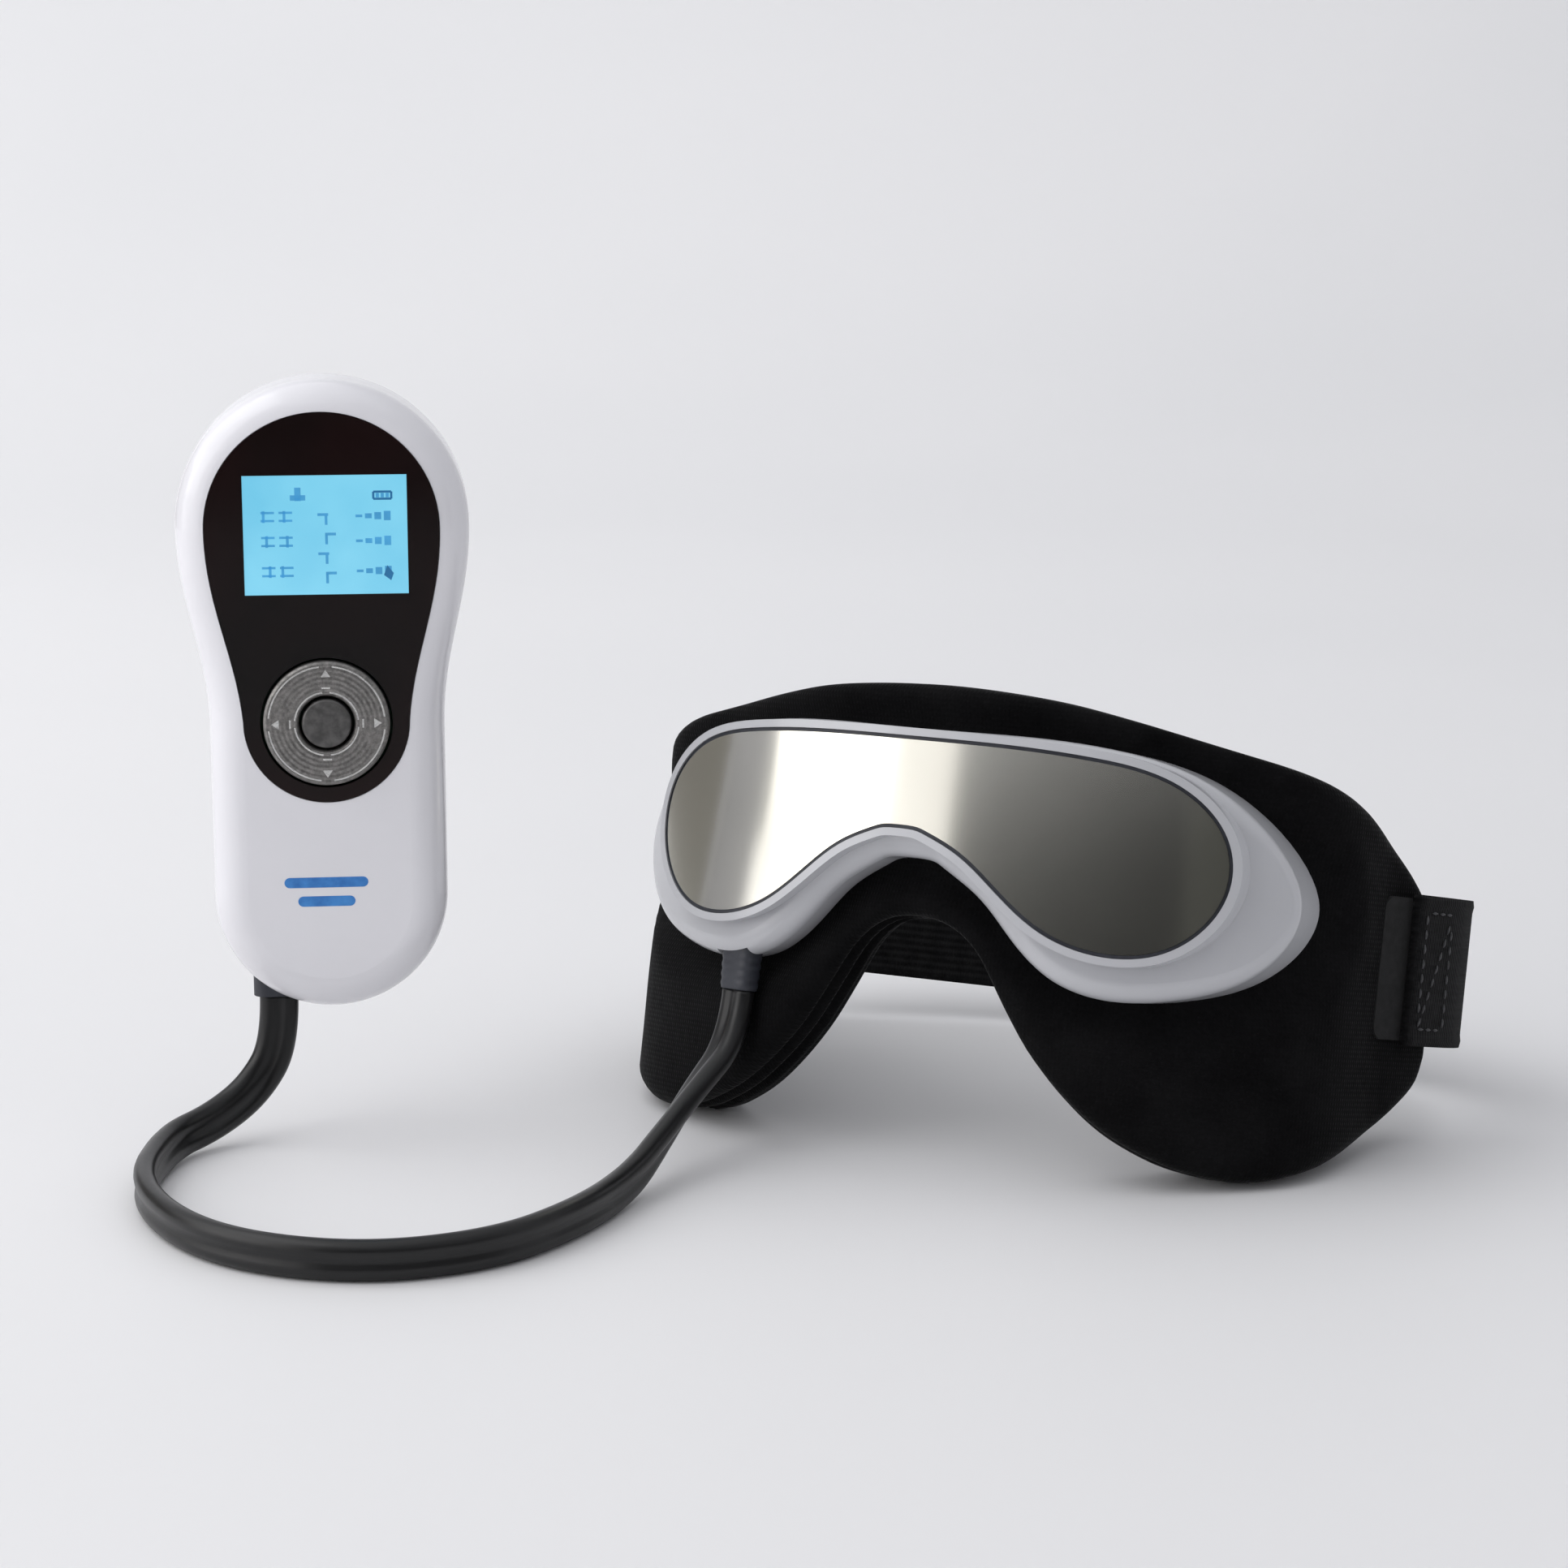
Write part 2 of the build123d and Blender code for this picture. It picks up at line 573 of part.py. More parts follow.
with BuildPart() as back_blank:
    extrude(ctl_outline(0), amount=-CTL_BACK)
    back_face = back_blank.faces().filter_by(CTL).sort_by(Axis.Y)[-1]
    fillet(back_face.edges(), CTL_ROUND)
    parting = back_blank.faces().filter_by(CTL).sort_by(Axis.Y)[0]
    offset(amount=-CTL_WALL, openings=parting)

with BuildPart() as back_shell:
    add(back_blank.part)
    with BuildSketch(ctl_plane(DOOR_FACE)):
        with Locations((0, DOOR_TOP / 2 - 5)):
            Rectangle(3 * BODY_RADIUS, DOOR_TOP + 10)
    extrude(amount=-20, mode=Mode.SUBTRACT)
    with BuildSketch(ctl_plane(DOOR_FACE - 2)):
        with Locations((0, DOOR_TOP + 2.2)):
            Rectangle(40, 4)
    extrude(amount=-5.2)
    for spot in SCREW_SPOTS:
        with BuildSketch(ctl_plane(-CTL_BACK)):
            with Locations(spot):
                Circle(BOSS_RADIUS)
        extrude(amount=CTL_BACK)
        with BuildSketch(ctl_plane(-CTL_BACK - 1)):
            with Locations(spot):
                Circle(1.05)
        extrude(amount=CTL_BACK + 2, mode=Mode.SUBTRACT)
        with BuildSketch(ctl_plane(-CTL_BACK - 1)):
            with Locations(spot):
                Circle(1.9)
        extrude(amount=2.6, mode=Mode.SUBTRACT)
    with BuildSketch(CTL_ACROSS):
        with Locations((HOSE_X, 0)):
            Rectangle(GROMMET_SECTION[0] + 2 * PLAY, GROMMET_SECTION[1] + 2 * PLAY)
    extrude(amount=GROMMET_TOP, mode=Mode.SUBTRACT)
save(back_shell, "controller_back_shell")

with BuildPart() as battery_cover:
    add(back_blank.part)
    with BuildSketch(ctl_plane(DOOR_FACE - DOOR_GAP)):
        with Locations((0, DOOR_TOP / 2 - 5)):
            Rectangle(3 * BODY_RADIUS, DOOR_TOP + 10 - 2 * DOOR_GAP)
    extrude(amount=-20, mode=Mode.INTERSECT)
    with BuildSketch(ctl_plane(-CTL_BACK - 0.6)):
        with Locations(*GRIP_SPOTS):
            SlotOverall(*GRIP_SIZE)
    extrude(amount=1.2)
save(battery_cover, "battery_cover")

with BuildPart() as shell_screws:
    for spot in SCREW_SPOTS:
        with BuildSketch(ctl_plane(-CTL_BACK + 0.1)):
            with Locations(spot):
                Circle(1.8)
        extrude(amount=1.4)
        with BuildSketch(ctl_plane(-CTL_BACK + 1.5)):
            with Locations(spot):
                Circle(0.9)
        extrude(amount=21)
save(shell_screws, "controller_screws")

with BuildPart() as grommet:
    with BuildSketch(CTL_ACROSS.offset(GROMMET_LOW)):
        with Locations((HOSE_X, 0)):
            RectangleRounded(GROMMET_SECTION[0], GROMMET_SECTION[1], 3)
    extrude(amount=GROMMET_TOP - GROMMET_LOW)
save(grommet, "controller_grommet")

# ---------------------------------------------------------------- face and display
with BuildPart() as face_panel:
    extrude(panel_outline(PANEL_BACK_Z), amount=PANEL_FRONT_Z - PANEL_BACK_Z)
    with BuildSketch(ctl_plane(PANEL_BACK_Z)):
        with Locations(LCD_AT):
            Rectangle(LCD_SIZE[0] + 2 * PLAY, LCD_SIZE[1] + 2 * PLAY)
        with Locations((0, NAV_Y)):
            Circle(NAV_RADIUS + 0.65)
    extrude(amount=4, mode=Mode.SUBTRACT)
save(face_panel, "face_panel")

with BuildPart() as lcd_window:
    with BuildSketch(ctl_plane(PANEL_BACK_Z)):
        with Locations(LCD_AT):
            Rectangle(*LCD_SIZE)
    extrude(amount=PANEL_FRONT_Z - PANEL_BACK_Z - 0.1)
save(lcd_window, "lcd_window")

with BuildPart() as lcd_module:
    with BuildSketch(ctl_plane(LCD_BACK)):
        with Locations(LCD_AT):
            Rectangle(LCD_SIZE[0] - 1, LCD_SIZE[1] + 3)
    extrude(amount=LCD_DEPTH)
save(lcd_module, "lcd_module")

BOARD_BACK = 2.0
BOARD_FRONT = 3.6
DOME_TOP = 4.3
DOME_RADIUS = 2.2
DOME_CLEAR = 0.9
KEY_BACK = 12.0
FOOT_RADIUS = 1.1
COLLAR_RADII = (8.2, 6.7)
COLLAR_BACK = 5.6
COLLAR_HEIGHT = 5.4
NAV_REACH = 10.0
with BuildPart() as board:
    extrude(ctl_outline(BOARD_BACK, inset=4.0), amount=BOARD_FRONT - BOARD_BACK)
    with BuildSketch(ctl_plane(BOARD_BACK)):
        with Locations((0, 20)):
            Rectangle(80, 48)
        with Locations(SCREW_SPOTS):
            Circle(2.9)
    extrude(amount=4, mode=Mode.SUBTRACT)
    with BuildSketch(ctl_plane(BOARD_FRONT)):
        with Locations((LCD_AT[0], LCD_AT[1] - 8), (LCD_AT[0], LCD_AT[1] + 8)):
            Rectangle(30, 2.4)
    extrude(amount=LCD_BACK - BOARD_FRONT)
save(board, "main_board")

with BuildPart() as domes:
    with BuildSketch(ctl_plane(BOARD_FRONT)):
        with Locations((0, NAV_Y)):
            Circle(DOME_RADIUS)
            with PolarLocations(NAV_REACH, 4):
                Circle(DOME_RADIUS)
    extrude(amount=DOME_TOP - BOARD_FRONT)
save(domes, "dome_switches")

# ---------------------------------------------------------------- keys
with BuildPart() as nav_ring:
    with BuildSketch(ctl_plane(KEY_BACK)):
        with Locations((0, NAV_Y)):
            Circle(NAV_RADIUS)
            Circle(NAV_HOLE, mode=Mode.SUBTRACT)
    extrude(amount=NAV_TOP - KEY_BACK)
    rims = nav_ring.faces().filter_by(CTL).sort_by(Axis.Y)[0].edges()
    fillet(rims, 0.8)
    with BuildSketch(ctl_plane(DOME_TOP + DOME_CLEAR)):
        with Locations((0, NAV_Y)):
            with PolarLocations(NAV_REACH, 4):
                Circle(FOOT_RADIUS)
    extrude(amount=KEY_BACK - DOME_TOP - DOME_CLEAR)
save(nav_ring, "nav_ring")

with BuildPart() as nav_collar:
    with BuildSketch(ctl_plane(COLLAR_BACK)):
        with Locations((0, NAV_Y)):
            Circle(COLLAR_RADII[0])
            Circle(COLLAR_RADII[1], mode=Mode.SUBTRACT)
    extrude(amount=COLLAR_HEIGHT)
save(nav_collar, "nav_collar")

with BuildPart() as select_button:
    with BuildSketch(ctl_plane(12.4)):
        with Locations((0, NAV_Y)):
            Circle(BUTTON_RADIUS)
    extrude(amount=NAV_TOP - 12.2)
    fillet(select_button.faces().filter_by(CTL).sort_by(Axis.Y)[0].edges(), 0.7)
    with BuildSketch(ctl_plane(DOME_TOP + 1.0)):
        with Locations((0, NAV_Y)):
            Circle(1.8)
    extrude(amount=12.4 - DOME_TOP - 1.0)
save(select_button, "select_button")

# ---------------------------------------------------------------- battery compartment
CELL_PITCH = 10.7
CELL_Z = -7.55
CELL_LOW = 20.0
CELL_NUB = (1.9, 1.0)
TRAY_Z = -2.1
TRAY_LOW = 15.2
TRAY_HIGH = 66.8
TRAY_WIDTH = 43.6
TRAY_FLOOR = 0.9
TRAY_WALL = 1.4
TRAY_WALL_WIDTH = 36.0
TRAY_DEPTH = 9.4
cell_xs = [CELL_PITCH * (slot - 1.5) for slot in range(4)]


def across_plane(height):
    """Plane across the controller's long axis; local x is its width, y points backwards."""
    return Plane(origin=CTL.from_local_coords((0, height, 0)), x_dir=CTL.x_dir, z_dir=(0, 0, 1))


with BuildPart() as cells:
    for turned, cell_x in enumerate(cell_xs):
        with BuildSketch(across_plane(CELL_LOW)):
            with Locations((cell_x, -CELL_Z)):
                Circle(CELL_RADIUS)
        extrude(amount=CELL_LENGTH - CELL_NUB[1])
        nub_low = CELL_LOW + CELL_LENGTH - CELL_NUB[1] if turned % 2 else CELL_LOW - CELL_NUB[1]
        with BuildSketch(across_plane(nub_low)):
            with Locations((cell_x, -CELL_Z)):
                Circle(CELL_NUB[0])
        extrude(amount=CELL_NUB[1])
save(cells, "battery_cells")

with BuildPart() as tray:
    with BuildSketch(ctl_plane(TRAY_Z)):
        with Locations((0, (TRAY_LOW + TRAY_HIGH) / 2)):
            Rectangle(TRAY_WIDTH, TRAY_HIGH - TRAY_LOW)
    extrude(amount=TRAY_FLOOR)
    for wall_y in (TRAY_LOW + TRAY_WALL / 2, TRAY_HIGH - TRAY_WALL / 2):
        with BuildSketch(ctl_plane(TRAY_Z)):
            with Locations((0, wall_y)):
                Rectangle(TRAY_WALL_WIDTH, TRAY_WALL)
        extrude(amount=-TRAY_DEPTH)
save(tray, "battery_tray")

with BuildPart() as contacts:
    with BuildSketch(ctl_plane(CELL_Z)):
        for cell_x in cell_xs:
            with Locations((cell_x, 65.15)):
                Rectangle(7, 0.4)
    extrude(amount=2.6, both=True)
save(contacts, "battery_contacts")

SPRING_TURNS = 3
SPRING_LOW = 16.6
SPRING_PITCH = 0.78
SPRING_RADIUS = 3.4
SPRING_WIRE = 1.0
with BuildPart() as springs:
    for cell_x in cell_xs:
        for turn in range(SPRING_TURNS):
            radius = SPRING_RADIUS - SPRING_WIRE / 2 * turn
            with BuildSketch(across_plane(SPRING_LOW + turn * SPRING_PITCH)):
                with Locations((cell_x, -CELL_Z)):
                    Circle(radius)
                    Circle(radius - SPRING_WIRE, mode=Mode.SUBTRACT)
            extrude(amount=SPRING_PITCH)
save(springs, "battery_springs")

# ---------------------------------------------------------------- air pump and valve
PUMP_Y = 112.0
PUMP_Z = -6.2
PUMP_RADIUS = 6.2
PUMP_X = -25.0
PUMP_LENGTH = 20.0
CRANK_SHAFT = 0.74
CRANK_X = -4.0
CRANK_RADIUS = 3.6
CRANK_THICK = 2.4
CRANK_THROW = 2.2
CRANK_PIN = 0.8
PUMP_HEAD_X = -5.0
PUMP_HEAD_SECTION = (14.4, 13.2)
PUMP_HEAD_LENGTH = 18.0
PUMP_CHAMBER = (4.6, 8.0)


def along_plane(start_x, height, depth):
    """Plane across the controller's width: its normal runs along the width."""
    origin = CTL.from_local_coords((start_x, height, depth))
    return Plane(origin=origin, x_dir=CTL.y_dir, z_dir=CTL.x_dir)


with BuildPart() as pump_motor:
    with BuildSketch(along_plane(PUMP_X, PUMP_Y, PUMP_Z)):
        Circle(PUMP_RADIUS)
        Circle(CRANK_SHAFT + 0.06, mode=Mode.SUBTRACT)
    extrude(amount=PUMP_LENGTH)
save(pump_motor, "pump_motor")

with BuildPart() as pump_crank:
    with BuildSketch(along_plane(PUMP_X + 1, PUMP_Y, PUMP_Z)):
        Circle(CRANK_SHAFT)
    extrude(amount=PUMP_LENGTH)
    with BuildSketch(along_plane(CRANK_X, PUMP_Y, PUMP_Z)):
        Circle(CRANK_RADIUS)
    extrude(amount=CRANK_THICK)
    with BuildSketch(along_plane(CRANK_X + CRANK_THICK, PUMP_Y, PUMP_Z)):
        with Locations((CRANK_THROW, 0)):
            Circle(CRANK_PIN)
    extrude(amount=2.6)
save(pump_crank, "pump_crank")

with BuildPart() as pump_head:
    with BuildSketch(along_plane(PUMP_HEAD_X, PUMP_Y, PUMP_Z)):
        RectangleRounded(*PUMP_HEAD_SECTION, 2)
    extrude(amount=PUMP_HEAD_LENGTH)
    with BuildSketch(along_plane(PUMP_HEAD_X, PUMP_Y, PUMP_Z)):
        Circle(PUMP_CHAMBER[0])
    extrude(amount=PUMP_CHAMBER[1], mode=Mode.SUBTRACT)
save(pump_head, "pump_head")

VALVE_AT = (-17.0, 88.0, -6.5)
VALVE_RADIUS = 4.2
VALVE_LENGTH = 12.0
PLUNGER_RADIUS = 1.2
PLUNGER_HEAD = (2.2, 1.4)
with BuildPart() as release_valve:
    with BuildSketch(along_plane(*VALVE_AT)):
        Circle(VALVE_RADIUS)
        Circle(PLUNGER_RADIUS + 0.1, mode=Mode.SUBTRACT)
    extrude(amount=VALVE_LENGTH)
    with BuildSketch(along_plane(VALVE_AT[0] - 2, VALVE_AT[1], VALVE_AT[2])):
        Circle(3)
    extrude(amount=2)
save(release_valve, "release_valve")

with BuildPart() as valve_plunger:
    with BuildSketch(along_plane(VALVE_AT[0] + 2, VALVE_AT[1], VALVE_AT[2])):
        Circle(PLUNGER_RADIUS)
    extrude(amount=VALVE_LENGTH)
    with BuildSketch(along_plane(VALVE_AT[0] + VALVE_LENGTH + 1.5, VALVE_AT[1], VALVE_AT[2])):
        Circle(PLUNGER_HEAD[0])
    extrude(amount=PLUNGER_HEAD[1])
save(valve_plunger, "valve_plunger")

PIPE_ROUTE = [
    (6, 104.8, -5), (6, 90, -5), (4, 76, 0.3), (-3, 50, 0.3), (-11, 26, 0.3), (HOSE_X, 10, 0),
]
pipe_points = [CTL.from_local_coords(point) for point in PIPE_ROUTE]
with BuildPart() as pump_pipe:
    with BuildLine() as pipe_line:
        FilletPolyline(*pipe_points, radius=6)
    with BuildSketch(Plane(pipe_points[0], z_dir=pipe_line.line % 0)):
        Circle(1.25)
    sweep()
save(pump_pipe, "pump_tube")

# ---------------------------------------------------------------- hose
# From the controller's foot down to the floor, round a loose loop and up to the mask.
HOSE_FLOOR = HOSE_WIDTH / 2 + 0.1
relief_mouth = on_wrap(RELIEF_ARC, RELIEF_END, RELIEF_DEPTH)
relief_drop = relief_mouth - MASK_UP * 11.5
grommet_mouth = CTL.from_local_coords((HOSE_X, GROMMET_LOW, 0))
# Points of the floor loop, measured across the floor from below the mask's reference point.
HOSE_DESCENT = [(-148.0, -37.5, 12.0), (-153.0, -47.0, 6.0)]
HOSE_LOOP = [
    (-155.5, -62.5), (-140.5, -95.5), (-107.0, -118.0), (-72.5, -115.5), (-50.5, -95.0),
    (-44.5, -68.0), (-46.0, -42.0),
]
HOSE_RISE = [(-47.5, -24.5, 9.5), (-47.5, -8.5, 16.5)]


def beside_mask(across, along, height=HOSE_FLOOR):
    """World point measured from below the mask's reference point."""
    return (MASK_POINT[0] + across, MASK_POINT[1] + along, height)


HOSE_ROUTE = [
    tuple(grommet_mouth),
    (grommet_mouth.X, grommet_mouth.Y, 22.5),
    *[beside_mask(*point) for point in HOSE_DESCENT],
    *[beside_mask(*point) for point in HOSE_LOOP],
    *[beside_mask(*point) for point in HOSE_RISE],
    tuple(relief_drop),
    tuple(relief_mouth),
]


def bend_radii(route):
    """Largest arc that each corner's two runs allow."""
    corners = [Vector(*point) for point in route]
    radii = []
    for before, corner, after in zip(corners, corners[1:], corners[2:]):
        shorter = min((corner - before).length, (after - corner).length)
        turn = (corner - before).get_angle(after - corner)
        radii.append(0.45 * shorter / tan(radians(turn / 2)))
    return radii


hose_radii = bend_radii(HOSE_ROUTE)
with BuildPart() as hose:
    with BuildLine() as hose_line:
        FilletPolyline(*HOSE_ROUTE, radius=hose_radii)
    with BuildSketch(Plane(HOSE_ROUTE[0], z_dir=hose_line.line % 0)):
        Circle(HOSE_WIDTH / 2)
    sweep()
save(hose, "air_hose")

section_area = pi * (HOSE_WIDTH / 2) ** 2
hose_length = sum(edge.length for edge in hose_line.edges())
print("hose length", round(hose_length, 1))
print("hose arc radii", [round(radius, 1) for radius in hose_radii])
print("hose volume over section times length", round(hose.part.volume / section_area / hose_length, 4))
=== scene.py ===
"""Looks of the eye massager mask and its hand controller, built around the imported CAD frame.

Everything is in metres in the CAD frame. The mask is described in its own unrolled
coordinates, (arc, height, radius) about the wrap axis behind the lens, and the
controller in (across, along, out) from the bottom tip of its parting plane.
"""

import json
from math import acos, cos, pi, radians, sin, tau

import bpy
import numpy as np
from mathutils import Matrix, Vector


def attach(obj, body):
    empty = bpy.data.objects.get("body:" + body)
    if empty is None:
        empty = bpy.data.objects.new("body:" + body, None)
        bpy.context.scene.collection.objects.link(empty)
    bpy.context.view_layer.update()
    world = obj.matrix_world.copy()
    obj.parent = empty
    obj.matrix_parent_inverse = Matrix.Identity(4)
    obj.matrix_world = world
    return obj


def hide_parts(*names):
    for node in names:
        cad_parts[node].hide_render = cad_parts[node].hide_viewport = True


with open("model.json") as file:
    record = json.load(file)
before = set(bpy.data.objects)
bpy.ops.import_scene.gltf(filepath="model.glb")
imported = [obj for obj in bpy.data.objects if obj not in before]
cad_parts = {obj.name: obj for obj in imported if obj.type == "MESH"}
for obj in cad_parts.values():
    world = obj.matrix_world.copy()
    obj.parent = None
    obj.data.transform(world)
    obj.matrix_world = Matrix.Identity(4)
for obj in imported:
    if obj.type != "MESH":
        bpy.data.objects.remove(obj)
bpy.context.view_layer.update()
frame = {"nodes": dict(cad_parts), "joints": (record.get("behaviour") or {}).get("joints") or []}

BODY = "massager"
NODES = frame["nodes"]

# ---------------------------------------------------------------- places from the frame
joints = {joint["name"]: joint for joint in frame["joints"]}
left_spin = joints["left_weight_spin"]
right_spin = joints["right_weight_spin"]
nav_rock = joints["nav_key_rock_up_down"]

# Mask: unrolled about a leaning axis, WRAP behind the front of the lens.
WRAP = 0.115
MOTOR_ARC = 0.038
MOTOR_DEPTH = 0.1065
MOTOR_LOW = -0.013
mask_x = Vector((1, 0, 0))
mask_up = Vector(left_spin["axis"]).normalized()
mask_back = mask_up.cross(mask_x).normalized()
motor_middle = (Vector(left_spin["pos_m"]) + Vector(right_spin["pos_m"])) / 2
motor_behind = WRAP - MOTOR_DEPTH * cos(MOTOR_ARC / WRAP)
mask_point = motor_middle - mask_up * MOTOR_LOW - mask_back * motor_behind

# Controller: local x across its width, y up, z out of its face.
NAV_ALONG = 0.0677
NAV_OUT = 0.009
ctl_x = Vector(nav_rock["axis"]).normalized()
ctl_y = Vector((0, 0, 1))
ctl_z = ctl_x.cross(ctl_y).normalized()
ctl_point = Vector(nav_rock["pos_m"]) - ctl_y * NAV_ALONG - ctl_z * NAV_OUT


def on_wrap(arc, height, radius, base=WRAP):
    """World point at an unrolled place of the mask."""
    angle = arc / base
    behind = WRAP - radius * cos(angle)
    return mask_point + mask_x * (radius * sin(angle)) + mask_back * behind + mask_up * height


def on_controller(across, along, out):
    """World point at a place of the controller."""
    return ctl_point + ctl_x * across + ctl_y * along + ctl_z * out


# ---------------------------------------------------------------- camera
CAMERA_LENS = 82.8
CAMERA_TURN = radians(26)
CAMERA_RISE = radians(11.5)
CAMERA_DISTANCE = 0.88
CAMERA_TARGET = Vector((-0.0266, 0.0134, 0.0747))


def add_camera():
    """Camera at the product view: from the front, a little to the right and above."""
    level = cos(CAMERA_RISE)
    back = Vector((sin(CAMERA_TURN) * level, -cos(CAMERA_TURN) * level, sin(CAMERA_RISE)))
    data = bpy.data.cameras.new("product_camera")
    data.lens = CAMERA_LENS
    data.clip_start = 0.01
    camera = bpy.data.objects.new("product_camera", data)
    camera.location = CAMERA_TARGET + back * CAMERA_DISTANCE
    camera.rotation_euler = back.to_track_quat("Z", "Y").to_euler()
    bpy.context.scene.collection.objects.link(camera)
    bpy.context.scene.camera = camera


add_camera()
bpy.context.scene.view_settings.view_transform = "Standard"


# ---------------------------------------------------------------- mesh helpers
def smooth_line(points, steps=12):
    """Points of a smooth open line through the given 2-D or 3-D points."""
    knots = [2 * np.array(points[0]) - np.array(points[1]), *map(np.array, points)]
    knots.append(2 * knots[-1] - knots[-2])
    line = []
    for before, start, end, after in zip(knots, knots[1:], knots[2:], knots[3:]):
        for step in range(steps):
            t = step / steps
            line.append(0.5 * (2 * start + (end - before) * t
                               + (2 * before - 5 * start + 4 * end - after) * t ** 2
                               + (3 * start - before - 3 * end + after) * t ** 3))
    line.append(knots[-2])
    return np.array(line)


def smooth_step(values):
    """Smooth 0 to 1 ramp of clipped values."""
    held = np.clip(values, 0, 1)
    return held * held * (3 - 2 * held)


def add_piece(name, points, faces, material, body=BODY, flat_places=None):
    """Mesh piece that rides on a body; flat_places are its points' cloth coordinates."""
    mesh = bpy.data.meshes.new(name)
    mesh.from_pydata([tuple(point) for point in points], [], faces)
    if flat_places is not None:
        layer = mesh.uv_layers.new(name="cloth")
        for loop in mesh.loops:
            layer.data[loop.index].uv = flat_places[loop.vertex_index]
    mesh.polygons.foreach_set("use_smooth", [True] * len(mesh.polygons))
    piece = bpy.data.objects.new(name, mesh)
    bpy.context.scene.collection.objects.link(piece)
    mesh.materials.append(material)
    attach(piece, body)
    return piece


def tube_faces(rings, around, closed=False):
    """Quads between successive rings of points, with end caps unless the tube is closed."""
    faces = []
    for ring in range(rings if closed else rings - 1):
        here = ring * around
        there = (ring + 1) % rings * around
        for turn in range(around):
            after = (turn + 1) % around
            faces.append((here + turn, here + after, there + after, there + turn))
    if not closed:
        faces.append(tuple(range(around - 1, -1, -1)))
        faces.append(tuple(range((rings - 1) * around, rings * around)))
    return faces


# ---------------------------------------------------------------- material helpers
def new_material(name, color, roughness, metallic=0.0, **sockets):
    """Principled material with uniform values set on the shader's own sockets."""
    material = bpy.data.materials.new(name)
    material.use_nodes = True
    shader = material.node_tree.nodes["Principled BSDF"]
    shader.inputs["Base Color"].default_value = (*color, 1)
    shader.inputs["Roughness"].default_value = roughness
    shader.inputs["Metallic"].default_value = metallic
    for socket, value in sockets.items():
        shader.inputs[socket.replace("_", " ")].default_value = value
    return material


def add_node(material, kind, **values):
    """New node with some of its input sockets or properties set by name."""
    node = material.node_tree.nodes.new(kind)
    for key, value in values.items():
        socket = key.replace("_", " ")
        if socket in node.inputs:
            node.inputs[socket].default_value = value
        else:
            setattr(node, key, value)
    return node


def link(material, source, target):
    """Link one output socket to one input socket."""
    material.node_tree.links.new(source, target)


def places(material, cloth):
    """Texture coordinates: unrolled cloth coordinates, or the piece's place at rest."""
    coordinates = add_node(material, "ShaderNodeTexCoord")
    return coordinates.outputs["UV" if cloth else "Object"]


def noise(material, where, scale, detail=3.0, roughness=0.5):
    """Noise value at a scale given in features per metre."""
    node = add_node(material, "ShaderNodeTexNoise", Scale=scale, Detail=detail, Roughness=roughness)
    link(material, where, node.inputs["Vector"])
    return node.outputs["Fac"]


def vary_color(material, value, dark, light, low=0.35, high=0.65):
    """Drive the base colour between two colours by a value."""
    ramp = add_node(material, "ShaderNodeValToRGB")
    ramp.color_ramp.elements[0].position = low
    ramp.color_ramp.elements[0].color = (*dark, 1)
    ramp.color_ramp.elements[1].position = high
    ramp.color_ramp.elements[1].color = (*light, 1)
    link(material, value, ramp.inputs["Fac"])
    link(material, ramp.outputs["Color"], material.node_tree.nodes["Principled BSDF"].inputs["Base Color"])


def vary_roughness(material, value, low, high):
    """Drive the roughness between two values."""
    spread = add_node(material, "ShaderNodeMapRange", To_Min=low, To_Max=high)
    link(material, value, spread.inputs["Value"])
    link(material, spread.outputs["Result"], material.node_tree.nodes["Principled BSDF"].inputs["Roughness"])


def add_bump(material, value, depth, strength=1.0):
    """Bump from a height value, whose full range is depth metres; adds to earlier bumps."""
    shader = material.node_tree.nodes["Principled BSDF"]
    bump = add_node(material, "ShaderNodeBump", Strength=strength, Distance=depth)
    link(material, value, bump.inputs["Height"])
    if shader.inputs["Normal"].is_linked:
        link(material, shader.inputs["Normal"].links[0].from_socket, bump.inputs["Normal"])
    link(material, bump.outputs["Normal"], shader.inputs["Normal"])


def maths(material, operation, first, second):
    """One arithmetic step on two sockets or numbers."""
    node = add_node(material, "ShaderNodeMath", operation=operation)
    for socket, value in zip(node.inputs, (first, second)):
        if isinstance(value, (int, float)):
            socket.default_value = value
        else:
            link(material, value, socket)
    return node.outputs["Value"]


WAVES_PER_UNIT = 20 / tau


def wave(material, where, pitch, direction, profile="SIN", distortion=0.0):
    """Even waves of a pitch in metres across one coordinate."""
    node = add_node(material, "ShaderNodeTexWave", Scale=1 / (pitch * WAVES_PER_UNIT), Distortion=distortion)
    node.bands_direction = direction
    node.wave_profile = profile
    link(material, where, node.inputs["Vector"])
    return node.outputs["Fac"]


# ---------------------------------------------------------------- materials
def gloss_white(name, base):
    """Injection-moulded white shell: faint flow variation and orange peel."""
    material = new_material(name, base, 0.26, Coat_Weight=0.4, Coat_Roughness=0.08)
    where = places(material, cloth=False)
    duller = tuple(0.96 * value for value in base)
    brighter = tuple(1.04 * value for value in base)
    vary_color(material, noise(material, where, 14, 4), duller, brighter)
    vary_roughness(material, noise(material, where, 90, 5), 0.17, 0.30)
    add_bump(material, noise(material, where, 420, 2), 0.00003)
    return material


